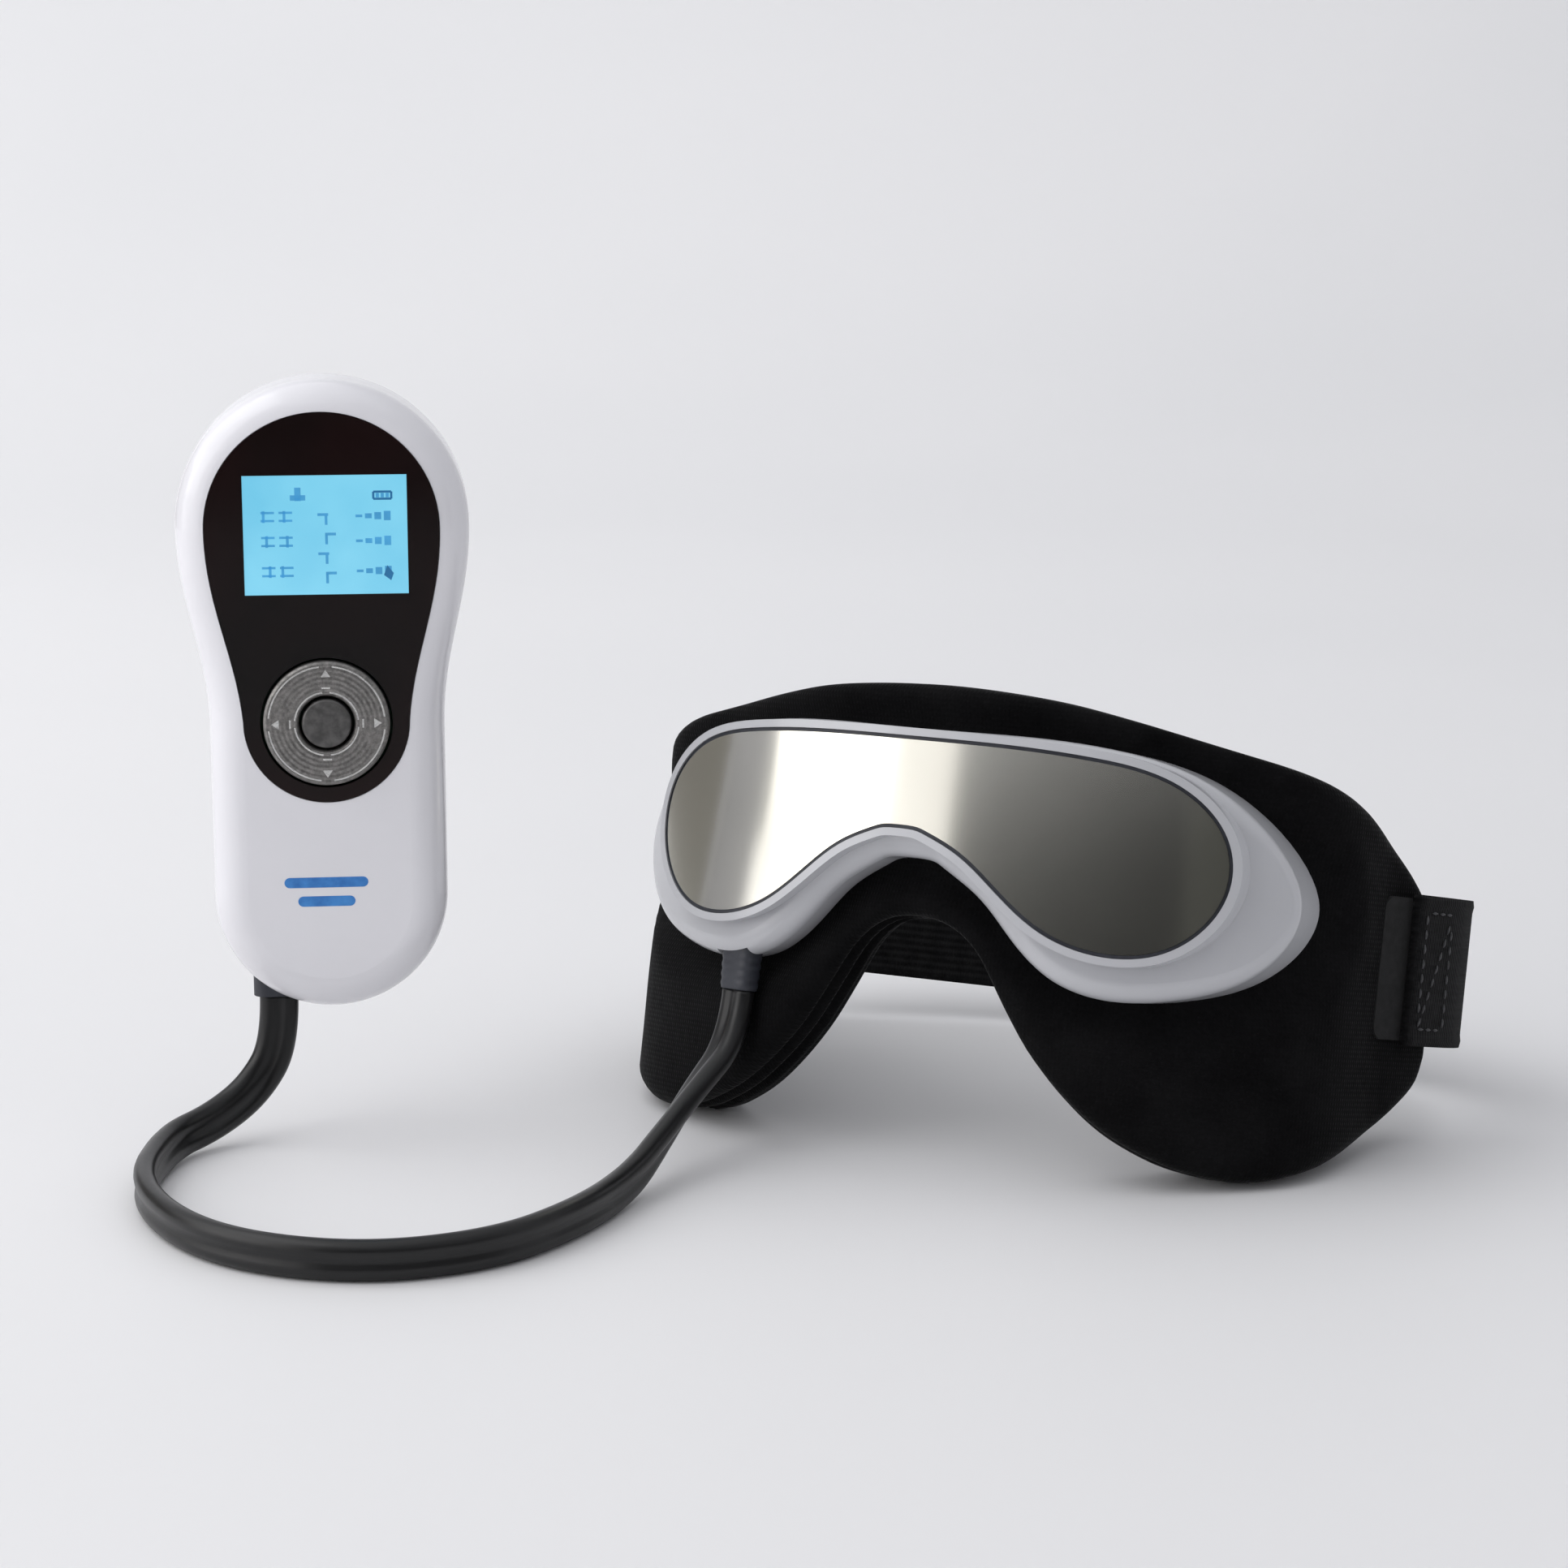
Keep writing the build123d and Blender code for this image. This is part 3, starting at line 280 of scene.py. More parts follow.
def lens_mirror():
    """Silvered lens with a faint warm tint, soft hazing and wiping marks."""
    material = new_material("silvered_lens", (0.80, 0.78, 0.71), 0.10, 1.0,
                            Coat_Weight=0.4, Coat_Roughness=0.04)
    where = places(material, cloth=False)
    vary_color(material, noise(material, where, 9, 3), (0.74, 0.73, 0.66), (0.86, 0.84, 0.77))
    vary_roughness(material, noise(material, where, 25, 3), 0.15, 0.18)
    return material


def black_knit():
    """Black foam-backed knit: fine rows of loops, soft nap and faint lint."""
    material = new_material("pad_knit", (0.003, 0.003, 0.0032), 0.9, Sheen_Weight=0.07, Sheen_Roughness=0.3,
                            Specular_IOR_Level=0.08)
    where = places(material, cloth=True)
    rows = wave(material, where, 0.0011, "Y")
    columns = wave(material, where, 0.0009, "X", distortion=0.6)
    loops = maths(material, "MULTIPLY", rows, columns)
    add_bump(material, loops, 0.00018, 0.5)
    add_bump(material, noise(material, where, 260, 5), 0.00035, 0.6)
    vary_color(material, noise(material, where, 55, 6), (0.0022, 0.0022, 0.0025), (0.0052, 0.0052, 0.0056))
    vary_roughness(material, noise(material, where, 900, 2), 0.75, 0.95)
    return material


def black_plush():
    """Black plush lining with a short mottled pile."""
    material = new_material("lining_plush", (0.012, 0.012, 0.013), 0.95,
                            Sheen_Weight=0.2, Sheen_Roughness=0.4)
    where = places(material, cloth=True)
    add_bump(material, noise(material, where, 1400, 3), 0.0004, 0.9)
    add_bump(material, noise(material, where, 120, 4), 0.0005, 0.5)
    vary_color(material, noise(material, where, 700, 4), (0.008, 0.008, 0.009), (0.022, 0.022, 0.024))
    return material


def webbing():
    """Black elastic webbing: lengthways ribs crossed by fine weft."""
    material = new_material("elastic_webbing", (0.005, 0.005, 0.0055), 0.85, Sheen_Weight=0.03,
                            Sheen_Roughness=0.4, Specular_IOR_Level=0.15)
    where = places(material, cloth=True)
    add_bump(material, wave(material, where, 0.0019, "Y"), 0.0005, 0.9)
    add_bump(material, wave(material, where, 0.0007, "X"), 0.00018, 0.7)
    vary_color(material, noise(material, where, 300, 5), (0.0035, 0.0035, 0.004), (0.009, 0.009, 0.0095))
    return material


def hose_plastic():
    """Satin black soft PVC with faint drawing lines and dust."""
    material = new_material("hose_pvc", (0.006, 0.006, 0.0065), 0.34, Specular_IOR_Level=0.4)
    where = places(material, cloth=True)
    vary_roughness(material, noise(material, where, 70, 5), 0.24, 0.42)
    vary_color(material, noise(material, where, 25, 4), (0.004, 0.004, 0.0045), (0.010, 0.010, 0.0105))
    add_bump(material, noise(material, where, 240, 4), 0.00008, 0.6)
    return material


def rubber_black():
    """Moulded dark rubber with a faintly pitted skin."""
    material = new_material("moulded_rubber", (0.025, 0.027, 0.036), 0.5)
    where = places(material, cloth=False)
    add_bump(material, noise(material, where, 900, 3), 0.00006)
    vary_color(material, noise(material, where, 80, 4), (0.018, 0.020, 0.028), (0.034, 0.037, 0.048))
    return material


def panel_gloss():
    """Gloss black display panel."""
    material = new_material("panel_gloss_black", (0.007, 0.005, 0.005), 0.10, Specular_IOR_Level=0.14)
    where = places(material, cloth=False)
    vary_color(material, noise(material, where, 22, 3), (0.006, 0.005, 0.005), (0.012, 0.006, 0.006))
    vary_roughness(material, noise(material, where, 140, 6), 0.06, 0.14)
    return material


def from_nav_centre(material, where):
    """Vector from the navigation key's centre, for patterns round its axis."""
    shift = add_node(material, "ShaderNodeVectorMath", operation="SUBTRACT")
    link(material, where, shift.inputs[0])
    shift.inputs[1].default_value = on_controller(0, NAV_ALONG, NAV_OUT)
    return shift.outputs["Vector"]


def radius_round_nav(material, where):
    """Distance from the navigation key's axis, from its sides across and along."""
    centred = from_nav_centre(material, where)
    squares = []
    for direction in (ctl_x, ctl_y):
        dot = add_node(material, "ShaderNodeVectorMath", operation="DOT_PRODUCT")
        link(material, centred, dot.inputs[0])
        dot.inputs[1].default_value = direction
        squares.append(maths(material, "POWER", dot.outputs["Value"], 2.0))
    return maths(material, "SQRT", maths(material, "ADD", *squares), 0.0)


def nav_grey():
    """Satin grey key with turned rings and speckle."""
    material = new_material("nav_satin_grey", (0.19, 0.185, 0.18), 0.38, 0.6)
    where = places(material, cloth=False)
    radius = radius_round_nav(material, where)
    turned = maths(material, "SINE", maths(material, "MULTIPLY", radius, tau / 0.0011), 0.0)
    add_bump(material, turned, 0.00006, 0.8)
    vary_color(material, noise(material, where, 900, 4, 0.8), (0.13, 0.126, 0.122), (0.28, 0.27, 0.26))
    vary_roughness(material, noise(material, where, 300, 3), 0.25, 0.45)
    return material


def key_dark():
    """Dark grey satin moulding for the middle key."""
    material = new_material("key_dark_grey", (0.09, 0.088, 0.086), 0.38, 0.4)
    where = places(material, cloth=False)
    vary_color(material, noise(material, where, 500, 4), (0.065, 0.063, 0.062), (0.12, 0.117, 0.115))
    add_bump(material, noise(material, where, 700, 2), 0.00004)
    return material


def display_lit():
    """Backlit cyan display, its glow varying unevenly across it."""
    material = new_material("display_cyan", (0.05, 0.22, 0.32), 0.16, Coat_Weight=0.5, Coat_Roughness=0.05)
    where = places(material, cloth=False)
    shader = material.node_tree.nodes["Principled BSDF"]
    ramp = add_node(material, "ShaderNodeValToRGB")
    ramp.color_ramp.elements[0].position = 0.3
    ramp.color_ramp.elements[0].color = (0.19, 0.60, 0.82, 1)
    ramp.color_ramp.elements[1].position = 0.7
    ramp.color_ramp.elements[1].color = (0.26, 0.70, 0.90, 1)
    link(material, noise(material, where, 60, 2), ramp.inputs["Fac"])
    link(material, ramp.outputs["Color"], shader.inputs["Emission Color"])
    shader.inputs["Emission Strength"].default_value = 0.72
    return material


def speckled(name, dark, light, roughness, metallic=0.0, scale=200):
    """Plain moulding or metal for inner pieces, with a fine variation."""
    material = new_material(name, light, roughness, metallic)
    where = places(material, cloth=False)
    vary_color(material, noise(material, where, scale, 4), dark, light)
    vary_roughness(material, noise(material, where, scale / 2, 3), roughness * 0.8, min(1, roughness * 1.2))
    add_bump(material, noise(material, where, scale * 4, 2), 0.00003)
    return material


WHITE = gloss_white("white_gloss_shell", (0.77, 0.765, 0.80))
# Painted shade: the bezel is the same white gloss plastic as the controller's shells, given a darker base
# colour here to stand in for the shade on it.
WHITE_WITH_PAINTED_SHADE = gloss_white("white_gloss_painted_shade", (0.52, 0.525, 0.55))
KNIT = black_knit()
PLUSH = black_plush()
WEBBING = webbing()
HOSE = hose_plastic()
RUBBER = rubber_black()
THREAD = speckled("sewing_thread", (0.035, 0.035, 0.038), (0.07, 0.07, 0.075), 0.6, scale=1200)
STEEL = speckled("plain_steel", (0.34, 0.34, 0.35), (0.55, 0.55, 0.56), 0.35, 1.0)
INNER = speckled("inner_moulding", (0.045, 0.045, 0.048), (0.075, 0.075, 0.08), 0.55)
FILM = speckled("cell_film", (0.30, 0.31, 0.33), (0.42, 0.43, 0.45), 0.35)
CAD_LOOKS = [
    (WHITE, ["controller_front_shell", "controller_back_shell", "battery_cover"]),
    # painted shade: the bezel takes the darkened copy of the white shell plastic
    (WHITE_WITH_PAINTED_SHADE, ["mask_bezel"]),
    (lens_mirror(), ["mask_lens"]),
    (panel_gloss(), ["face_panel"]),
    (display_lit(), ["lcd_window"]),
    (nav_grey(), ["nav_ring"]),
    (key_dark(), ["select_button", "nav_collar"]),
    (RUBBER, ["lens_gasket", "controller_grommet"]),
    (INNER, ["mask_chassis", "air_manifold", "battery_tray", "pump_head"]),
    (FILM, ["bladder_left", "bladder_right", "air_feed_tube", "bladder_tube_left", "bladder_tube_right",
            "pump_tube"]),
    (speckled("hook_patch", (0.003, 0.003, 0.0032), (0.008, 0.008, 0.0085), 0.95, scale=900),
     ["strap_patch_left", "strap_patch_right"]),
    (speckled("heater_foil", (0.30, 0.15, 0.04), (0.48, 0.26, 0.08), 0.3),
     ["heater_film_left", "heater_film_right"]),
    (speckled("board_green", (0.015, 0.10, 0.04), (0.03, 0.16, 0.07), 0.4), ["main_board"]),
    (speckled("cell_wrap", (0.02, 0.07, 0.22), (0.05, 0.12, 0.32), 0.3), ["battery_cells"]),
    (speckled("display_back", (0.10, 0.30, 0.38), (0.18, 0.42, 0.52), 0.4), ["lcd_module"]),
    (STEEL, ["chassis_screws", "controller_screws", "battery_contacts", "battery_springs", "dome_switches",
             "eccentric_weight_left", "eccentric_weight_right", "pump_crank", "pump_motor", "release_valve",
             "valve_plunger", "vibration_motor_left", "vibration_motor_right"]),
]
for look, names in CAD_LOOKS:
    for name in names:
        for holder in NODES[name].material_slots:
            holder.material = look

# ---------------------------------------------------------------- pad outline
# Unrolled right half of the pad's outline on its front face, as (arc, height).
FLOOR_GAP = 0.0003
PAD_FRONT = 0.099
PAD_BACK = 0.0853
PAD_TOP = [
    (0, 0.0325), (0.025, 0.0313), (0.045, 0.0285), (0.070, 0.0240), (0.086, 0.0208), (0.098, 0.0171),
    (0.110, 0.0121), (0.122, 0.0050), (0.132, -0.0025), (0.1375, -0.009), (0.1400, -0.017),
]
PAD_LOW = [
    (0, -0.020), (0.008, -0.0215), (0.015, -0.027), (0.022, -0.038), (0.029, -0.048), (0.038, -0.057),
    (0.048, -0.064), (0.060, -0.069), (0.070, -0.0712), (0.079, -0.0718), (0.088, -0.0702),
    (0.102, -0.066), (0.116, -0.0605), (0.128, -0.054), (0.1365, -0.048), (0.1400, -0.041),
]
BEZEL_FRONT = 0.111
BEZEL_HALF = [
    (0, 0.022), (0.042, 0.0215), (0.062, 0.0175), (0.077, 0.0095), (0.087, 0), (0.091, -0.009),
    (0.0875, -0.019), (0.077, -0.0275), (0.062, -0.0325), (0.047, -0.034), (0.035, -0.031),
    (0.024, -0.022), (0.016, -0.0138), (0.008, -0.0086), (0, -0.007),
]


def both_halves(half):
    """Mirror a line that starts on the middle into a whole one, from left to right."""
    return [(-across, height) for across, height in half[:0:-1]] + list(half)


def shrunk(points, amount):
    """Move a line of points to its left by an amount."""
    line = np.array(points)
    runs = np.gradient(line, axis=0)
    runs /= np.linalg.norm(runs, axis=1)[:, None]
    return line + amount * np.stack([-runs[:, 1], runs[:, 0]], axis=1)


def off_line(places_, line):
    """Distance of each place from a polyline of points."""
    starts, ends = line[:-1], line[1:]
    runs = ends - starts
    lengths = np.maximum((runs ** 2).sum(axis=1), 1e-12)
    nearest = np.full(len(places_), 1e9)
    for start, run, length in zip(starts, runs, lengths):
        along = np.clip(((places_ - start) @ run) / length, 0, 1)
        nearest = np.minimum(nearest, np.linalg.norm(places_ - start - along[:, None] * run, axis=1))
    return nearest


def inside_line(places_, line):
    """True for the places inside a closed polyline."""
    crossings = np.zeros(len(places_), dtype=int)
    for (x0, y0), (x1, y1) in zip(line, np.roll(line, -1, axis=0)):
        if y0 == y1:
            continue
        spans = (places_[:, 1] > min(y0, y1)) & (places_[:, 1] <= max(y0, y1))
        at = x0 + (places_[:, 1] - y0) * (x1 - x0) / (y1 - y0)
        crossings += spans & (at > places_[:, 0])
    return crossings % 2 == 1


def bezel_on_pad():
    """The bezel's outline, unrolled on the pad's front face."""
    half = smooth_line(BEZEL_HALF, 6)
    across = BEZEL_FRONT * np.sin(half[:, 0] / BEZEL_FRONT)
    half = np.stack([PAD_FRONT * np.arcsin(across / PAD_FRONT), half[:, 1]], axis=1)
    return np.vstack([half, (half * (-1, 1))[::-1]])


def rounding(off_edge, radius):
    """How far a surface drops towards a rounded edge."""
    near = radius - np.minimum(off_edge, radius)
    return radius - np.sqrt(np.maximum(radius ** 2 - near ** 2, 0))


def ripple(places_, size, seed):
    """Gentle uneven swelling from a few sine waves, between about -1 and 1."""
    total = np.zeros(len(places_))
    for turn in range(5):
        angle = seed + 2.4 * turn
        pitch = size * (1 + 0.37 * turn)
        total += np.sin(tau / pitch * (places_ @ (cos(angle), sin(angle))) + seed * turn)
    return total / 5


def cloth_grid(top, low, columns, rows):
    """Even grid of (arc, height) places between two edge lines, closer near the edges."""
    reach = top[-1][0]
    top_line = smooth_line(both_halves(top))
    low_line = smooth_line(both_halves(low))
    arcs = reach * np.sin(np.linspace(-pi / 2, pi / 2, columns) * 0.985) / sin(pi / 2 * 0.985)
    arcs = 0.55 * arcs + 0.45 * np.linspace(-reach, reach, columns)
    rises = (1 - np.cos(np.linspace(0, pi, rows))) / 2
    tops = np.interp(arcs, top_line[:, 0], top_line[:, 1])
    lows = np.interp(arcs, low_line[:, 0], low_line[:, 1])
    grid = [(arc, bottom + (high - bottom) * rise)
            for arc, high, bottom in zip(arcs, tops, lows) for rise in rises]
    return np.array(grid)


def grid_faces(columns, rows, first=0, flip=False):
    """Quads of a grid of columns and rows of points."""
    faces = []
    for column in range(columns - 1):
        for row in range(rows - 1):
            corner = first + column * rows + row
            face = (corner, corner + rows, corner + rows + 1, corner + 1)
            faces.append(face[::-1] if flip else face)
    return faces


def border(columns, rows):
    """Indices round a grid's border, in order."""
    lower = [column * rows for column in range(columns)]
    right = [(columns - 1) * rows + row for row in range(1, rows)]
    upper = [column * rows + rows - 1 for column in range(columns - 2, -1, -1)]
    left = list(range(rows - 2, 0, -1))
    return lower + right + upper + left


def cloth_block(name, grid, columns, rows, front, back, side_swell, material):
    """Closed soft block between two radii over a grid, with shaped sides all round."""
    edge = border(columns, rows)
    outline = grid[edge]
    runs = np.roll(outline, -1, axis=0) - np.roll(outline, 1, axis=0)
    runs /= np.maximum(np.linalg.norm(runs, axis=1), 1e-9)[:, None]
    outward = np.stack([runs[:, 1], -runs[:, 0]], axis=1)
    points = [on_wrap(arc, height, radius, PAD_FRONT) for (arc, height), radius in zip(grid, front)]
    flats = [tuple(place) for place in grid]
    faces = grid_faces(columns, rows)
    count = len(grid)
    points += [on_wrap(arc, height, radius, PAD_FRONT) for (arc, height), radius in zip(grid, back)]
    flats += flats[:count]
    faces += grid_faces(columns, rows, count, flip=True)
    previous = edge
    for step, swell in enumerate(side_swell, start=1):
        share = step / (len(side_swell) + 1)
        start = len(points)
        for (arc, height), away, index in zip(outline, outward, edge):
            radius = front[index] * (1 - share) + back[index] * share
            moved = np.array((arc, height)) + away * swell
            points.append(on_wrap(moved[0], moved[1], radius, PAD_FRONT))
            flats.append((arc + away[0] * share * 0.01, height + away[1] * share * 0.01))
        current = list(range(start, start + len(edge)))
        faces += side_ring(previous, current)
        previous = current
    faces += side_ring(previous, [index + count for index in edge])
    for point in points:
        point.z = max(point.z, FLOOR_GAP)
    return add_piece(name, points, faces, material, flat_places=flats)


def side_ring(near, far):
    """Quads between two rings of indices."""
    ring = []
    for turn in range(len(near)):
        after = (turn + 1) % len(near)
        ring.append((near[after], near[turn], far[turn], far[after]))
    return ring


# ---------------------------------------------------------------- pad and lining
CROWN_HEIGHT = 0.0046
CROWN_RUN = 0.011
SIDE_CROWN = 0.0022
SIDE_CROWN_FROM = 0.060
CROWN_ENDS_FROM = 0.090
CROWN_FADE = 0.030
FRONT_ROUND = 0.0048
BACK_ROUND = 0.0036
# Grooved side of the pad, front to back, as offsets outward from its outline.
PAD_SIDE = [
    -0.0001, -0.0006, -0.0014, -0.0008, 0.0001, 0.0003, 0.0002, -0.0007,
    -0.0013, -0.0006, 0.0002, 0.0004, 0.0001,
]


def add_pad():
    """Foam pad in black knit: crowned round the bezel, with layered, grooved sides."""
    columns, rows = 181, 49
    grid = cloth_grid(PAD_TOP, PAD_LOW, columns, rows)
    edge_line = grid[border(columns, rows)]
    off_edge = off_line(grid, np.vstack([edge_line, edge_line[:1]]))
    bezel_line = bezel_on_pad()
    off_bezel = off_line(grid, np.vstack([bezel_line, bezel_line[:1]]))
    off_bezel[inside_line(grid, bezel_line)] = 0
    swell = CROWN_HEIGHT * smooth_step(off_bezel / CROWN_RUN)
    swell += SIDE_CROWN * smooth_step((np.abs(grid[:, 0]) - SIDE_CROWN_FROM) / CROWN_FADE)
    swell *= 1 - smooth_step((np.abs(grid[:, 0]) - CROWN_ENDS_FROM) / CROWN_FADE)
    swell += 0.0004 * ripple(grid, 0.034, 1.7) * smooth_step(off_bezel / 0.012)
    front = PAD_FRONT + swell - rounding(off_edge, FRONT_ROUND)
    back = PAD_BACK + rounding(off_edge, BACK_ROUND)
    pad = cloth_block("foam_pad", grid, columns, rows, front, back, PAD_SIDE, KNIT)
    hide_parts("mask_pad")


EYE_ARC = 0.035
EYE_HEIGHT = -0.014
EYE_RADII = (0.0235, 0.0195)
LINING_INSET = 0.004
LINING_FRONT = 0.0851
LINING_BACK = 0.0832
LINING_ROUND = 0.0016
# The face side of the pad is shorter round the bend than its front.
FACE_SHARE = 0.84
CELL_PUFF = 0.0019
RIM_PUFF = 0.0011
MIDDLE_SEAM = 0.0008


def add_lining():
    """Plush lining over the pad's back, with sewn, puffed air-cell ovals."""
    columns, rows = 141, 41
    top = shrunk(PAD_TOP, -LINING_INSET)
    low = shrunk(PAD_LOW, LINING_INSET)
    reach = PAD_TOP[-1][0] - LINING_INSET
    for line in (top, low):
        line[0, 0] = 0
        line[:, 0] = np.minimum(line[:, 0], reach)
        line[-1, 0] = reach
    grid = cloth_grid(top, low, columns, rows)
    edge_line = grid[border(columns, rows)]
    off_edge = off_line(grid, np.vstack([edge_line, edge_line[:1]]))
    across = PAD_FRONT * np.sin(grid[:, 0] / PAD_FRONT) * FACE_SHARE
    oval = np.hypot((np.abs(across) - EYE_ARC) / EYE_RADII[0], (grid[:, 1] - EYE_HEIGHT) / EYE_RADII[1])
    puff = CELL_PUFF * smooth_step((1 - oval) / 0.35) + RIM_PUFF * smooth_step((oval - 1) / 0.3)
    puff -= MIDDLE_SEAM * np.exp(-(grid[:, 0] / 0.0016) ** 2)
    puff += 0.0002 * ripple(grid, 0.021, 0.6)
    back = LINING_BACK - puff + rounding(off_edge, LINING_ROUND)
    front = np.full(len(grid), LINING_FRONT)
    lining = cloth_block("plush_lining", grid, columns, rows, front, back, [0.0002], PLUSH)
    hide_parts("face_lining")


add_pad()
add_lining()

# ---------------------------------------------------------------- head strap
STRAP_LOW = -0.038
STRAP_HEIGHT = 0.035
STRAP_THICK = 0.0022
STRAP_INNER = 0.1005
STRAP_START = 0.082
STRAP_LEAVE = 0.100
STRAP_BEND = 0.030
STRAP_TURN = radians(82)
STRAP_APEX = 0.152


def strap_route():
    """Right half of the strap's inner line in the mask's plan view, as (across, behind)."""
    first = acos((WRAP - STRAP_START) / STRAP_INNER)
    leave = acos((WRAP - STRAP_LEAVE) / STRAP_INNER)
    line = [(STRAP_INNER * sin(turn), WRAP - STRAP_INNER * cos(turn))
            for turn in np.linspace(first, leave, 8)]
    heading = np.array((cos(leave), sin(leave)))
    inward = np.array((-heading[1], heading[0]))
    centre = np.array(line[-1]) + inward * STRAP_BEND
    for turn in np.linspace(0, STRAP_TURN, 30)[1:]:
        line.append(tuple(centre - inward * STRAP_BEND * cos(turn) + heading * STRAP_BEND * sin(turn)))
    end = leave + STRAP_TURN
    start = np.array(line[-1])
    way = np.array((cos(end), sin(end)))
    goal = np.array((0, STRAP_APEX))
    reach = np.linalg.norm(goal - start) * 0.4
    for t in np.linspace(0, 1, 24)[1:]:
        line.append(tuple((1 - t) ** 3 * start + 3 * (1 - t) ** 2 * t * (start + way * reach)
                          + 3 * (1 - t) * t ** 2 * (goal + (reach, 0)) + t ** 3 * goal))
    return line


def add_strap():
    """Elastic strap: a rounded ribbon that follows its route round the back of the head."""
    right = strap_route()
    line = np.array(right + [(-across, behind) for across, behind in right[-2::-1]])
    runs = np.gradient(line, axis=0)
    runs /= np.linalg.norm(runs, axis=1)[:, None]
    outward = np.stack([runs[:, 1], -runs[:, 0]], axis=1)
    lengths = np.concatenate([[0], np.cumsum(np.linalg.norm(np.diff(line, axis=0), axis=1))])
    half = STRAP_THICK / 2
    rows = 24
    section = []
    for rise in np.linspace(0, 1, rows):
        bead = 1 + 0.25 * np.exp(-((min(rise, 1 - rise) - 0.045) / 0.02) ** 2)
        section.append((rise, half * bead))
    points, flats = [], []
    for (across, behind), away, length in zip(line, outward, lengths):
        sag = 0.0009 * sin(length * 34) * smooth_step((behind - 0.105) / 0.02)
        ring = [(rise, half + thick * 0.92) for rise, thick in section]
        ring += [(rise, half - thick * 0.92) for rise, thick in section[::-1]]
        for rise, depth in ring:
            height = STRAP_LOW + STRAP_HEIGHT * rise
            spot = np.array((across, behind)) + away * (depth + sag)
            points.append(mask_point + mask_x * spot[0] + mask_back * spot[1] + mask_up * height)
            flats.append((length, height))
    strap = add_piece("elastic_strap", points, tube_faces(len(line), 2 * rows), WEBBING,
                      flat_places=flats)
    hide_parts("head_strap")


add_strap()


def add_strap_stitches():
    """Box stitches that hold both strap ends on the pad's wings."""
    points, faces = [], []
    stitch, gap, thick = 0.0022, 0.0012, 0.00035
    ring = 6
    turns = [acos((WRAP - behind) / STRAP_INNER) for behind in (STRAP_START + 0.003, STRAP_LEAVE - 0.004)]
    low, high = STRAP_LOW + 0.004, STRAP_LOW + STRAP_HEIGHT - 0.004
    surface = STRAP_INNER + STRAP_THICK + 0.0001
    corners = [(turns[0], low), (turns[1], low), (turns[1], high), (turns[0], high), (turns[0], low),
               (turns[1], high)]
    for side in (-1, 1):
        for (turn_a, height_a), (turn_b, height_b) in zip(corners, corners[1:]):
            start = np.array((turn_a * surface, height_a))
            end = np.array((turn_b * surface, height_b))
            span = np.linalg.norm(end - start)
            count = int(span / (stitch + gap))
            for index in range(count):
                near = start + (end - start) * (index * (stitch + gap) + gap / 2) / span
                far = near + (end - start) / span * stitch
                first = len(points)
                for share in np.linspace(0, 1, 5):
                    spot = near + (far - near) * share
                    swell = thick * (0.25 + 0.75 * sin(pi * share))
                    angle = side * spot[0] / surface
                    away = mask_x * sin(angle) - mask_back * cos(angle)
                    along = mask_x * cos(angle) + mask_back * sin(angle)
                    middle = mask_point + mask_back * WRAP + away * surface + mask_up * spot[1]
                    way = (along * side * (far - near)[0] + mask_up * (far - near)[1]).normalized()
                    across = way.cross(away)
                    for turn in range(ring):
                        lift = tau * turn / ring
                        points.append(middle + across * (swell * cos(lift)) + away * (swell * sin(lift)))
                faces += [tuple(first + index for index in face) for face in tube_faces(5, ring)]
    add_piece("strap_stitches", points, faces, THREAD)


add_strap_stitches()

# ---------------------------------------------------------------- air hose
RELIEF_ARC = -0.049
RELIEF_DEPTH = 0.1062
RELIEF_TOP = -0.022
RELIEF_END = -0.0415
HOSE_WIDTH = 0.009
HOSE_X = -0.013
GROMMET_LOW = 0.001
HOSE_FLOOR = 0.0046
TUBE_RADIUS = 0.0025
HOSE_GIRTH = 0.026
BOOT_SIZE = (0.0053, 0.0033)
BOOT_RIBS_FROM = 0.55
relief_mouth = on_wrap(RELIEF_ARC, RELIEF_END, RELIEF_DEPTH)
relief_drop = relief_mouth - mask_up * 0.0115
grommet_mouth = on_controller(HOSE_X, GROMMET_LOW, 0)
# The same route as the CAD hose: down from the controller, round on the floor, up to the mask.
HOSE_DESCENT = [(-0.148, -0.0375, 0.012), (-0.153, -0.047, 0.006)]
HOSE_LOOP = [
    (-0.1555, -0.0625), (-0.1405, -0.0955), (-0.107, -0.118), (-0.0725, -0.1155), (-0.0505, -0.095),
    (-0.0445, -0.068), (-0.046, -0.042),
]
HOSE_RISE = [(-0.0475, -0.0245, 0.0095), (-0.0475, -0.0085, 0.0165)]


def beside_mask(across, along, height=HOSE_FLOOR):
    """World point measured from below the mask's reference point."""
    return Vector((mask_point.x + across, mask_point.y + along, height))


HOSE_ROUTE = [
    grommet_mouth,
    Vector((grommet_mouth.x, grommet_mouth.y, 0.0225)),
    *[beside_mask(*point) for point in HOSE_DESCENT],
    *[beside_mask(*point) for point in HOSE_LOOP],
    *[beside_mask(*point) for point in HOSE_RISE],
    relief_drop,
    relief_mouth,
]


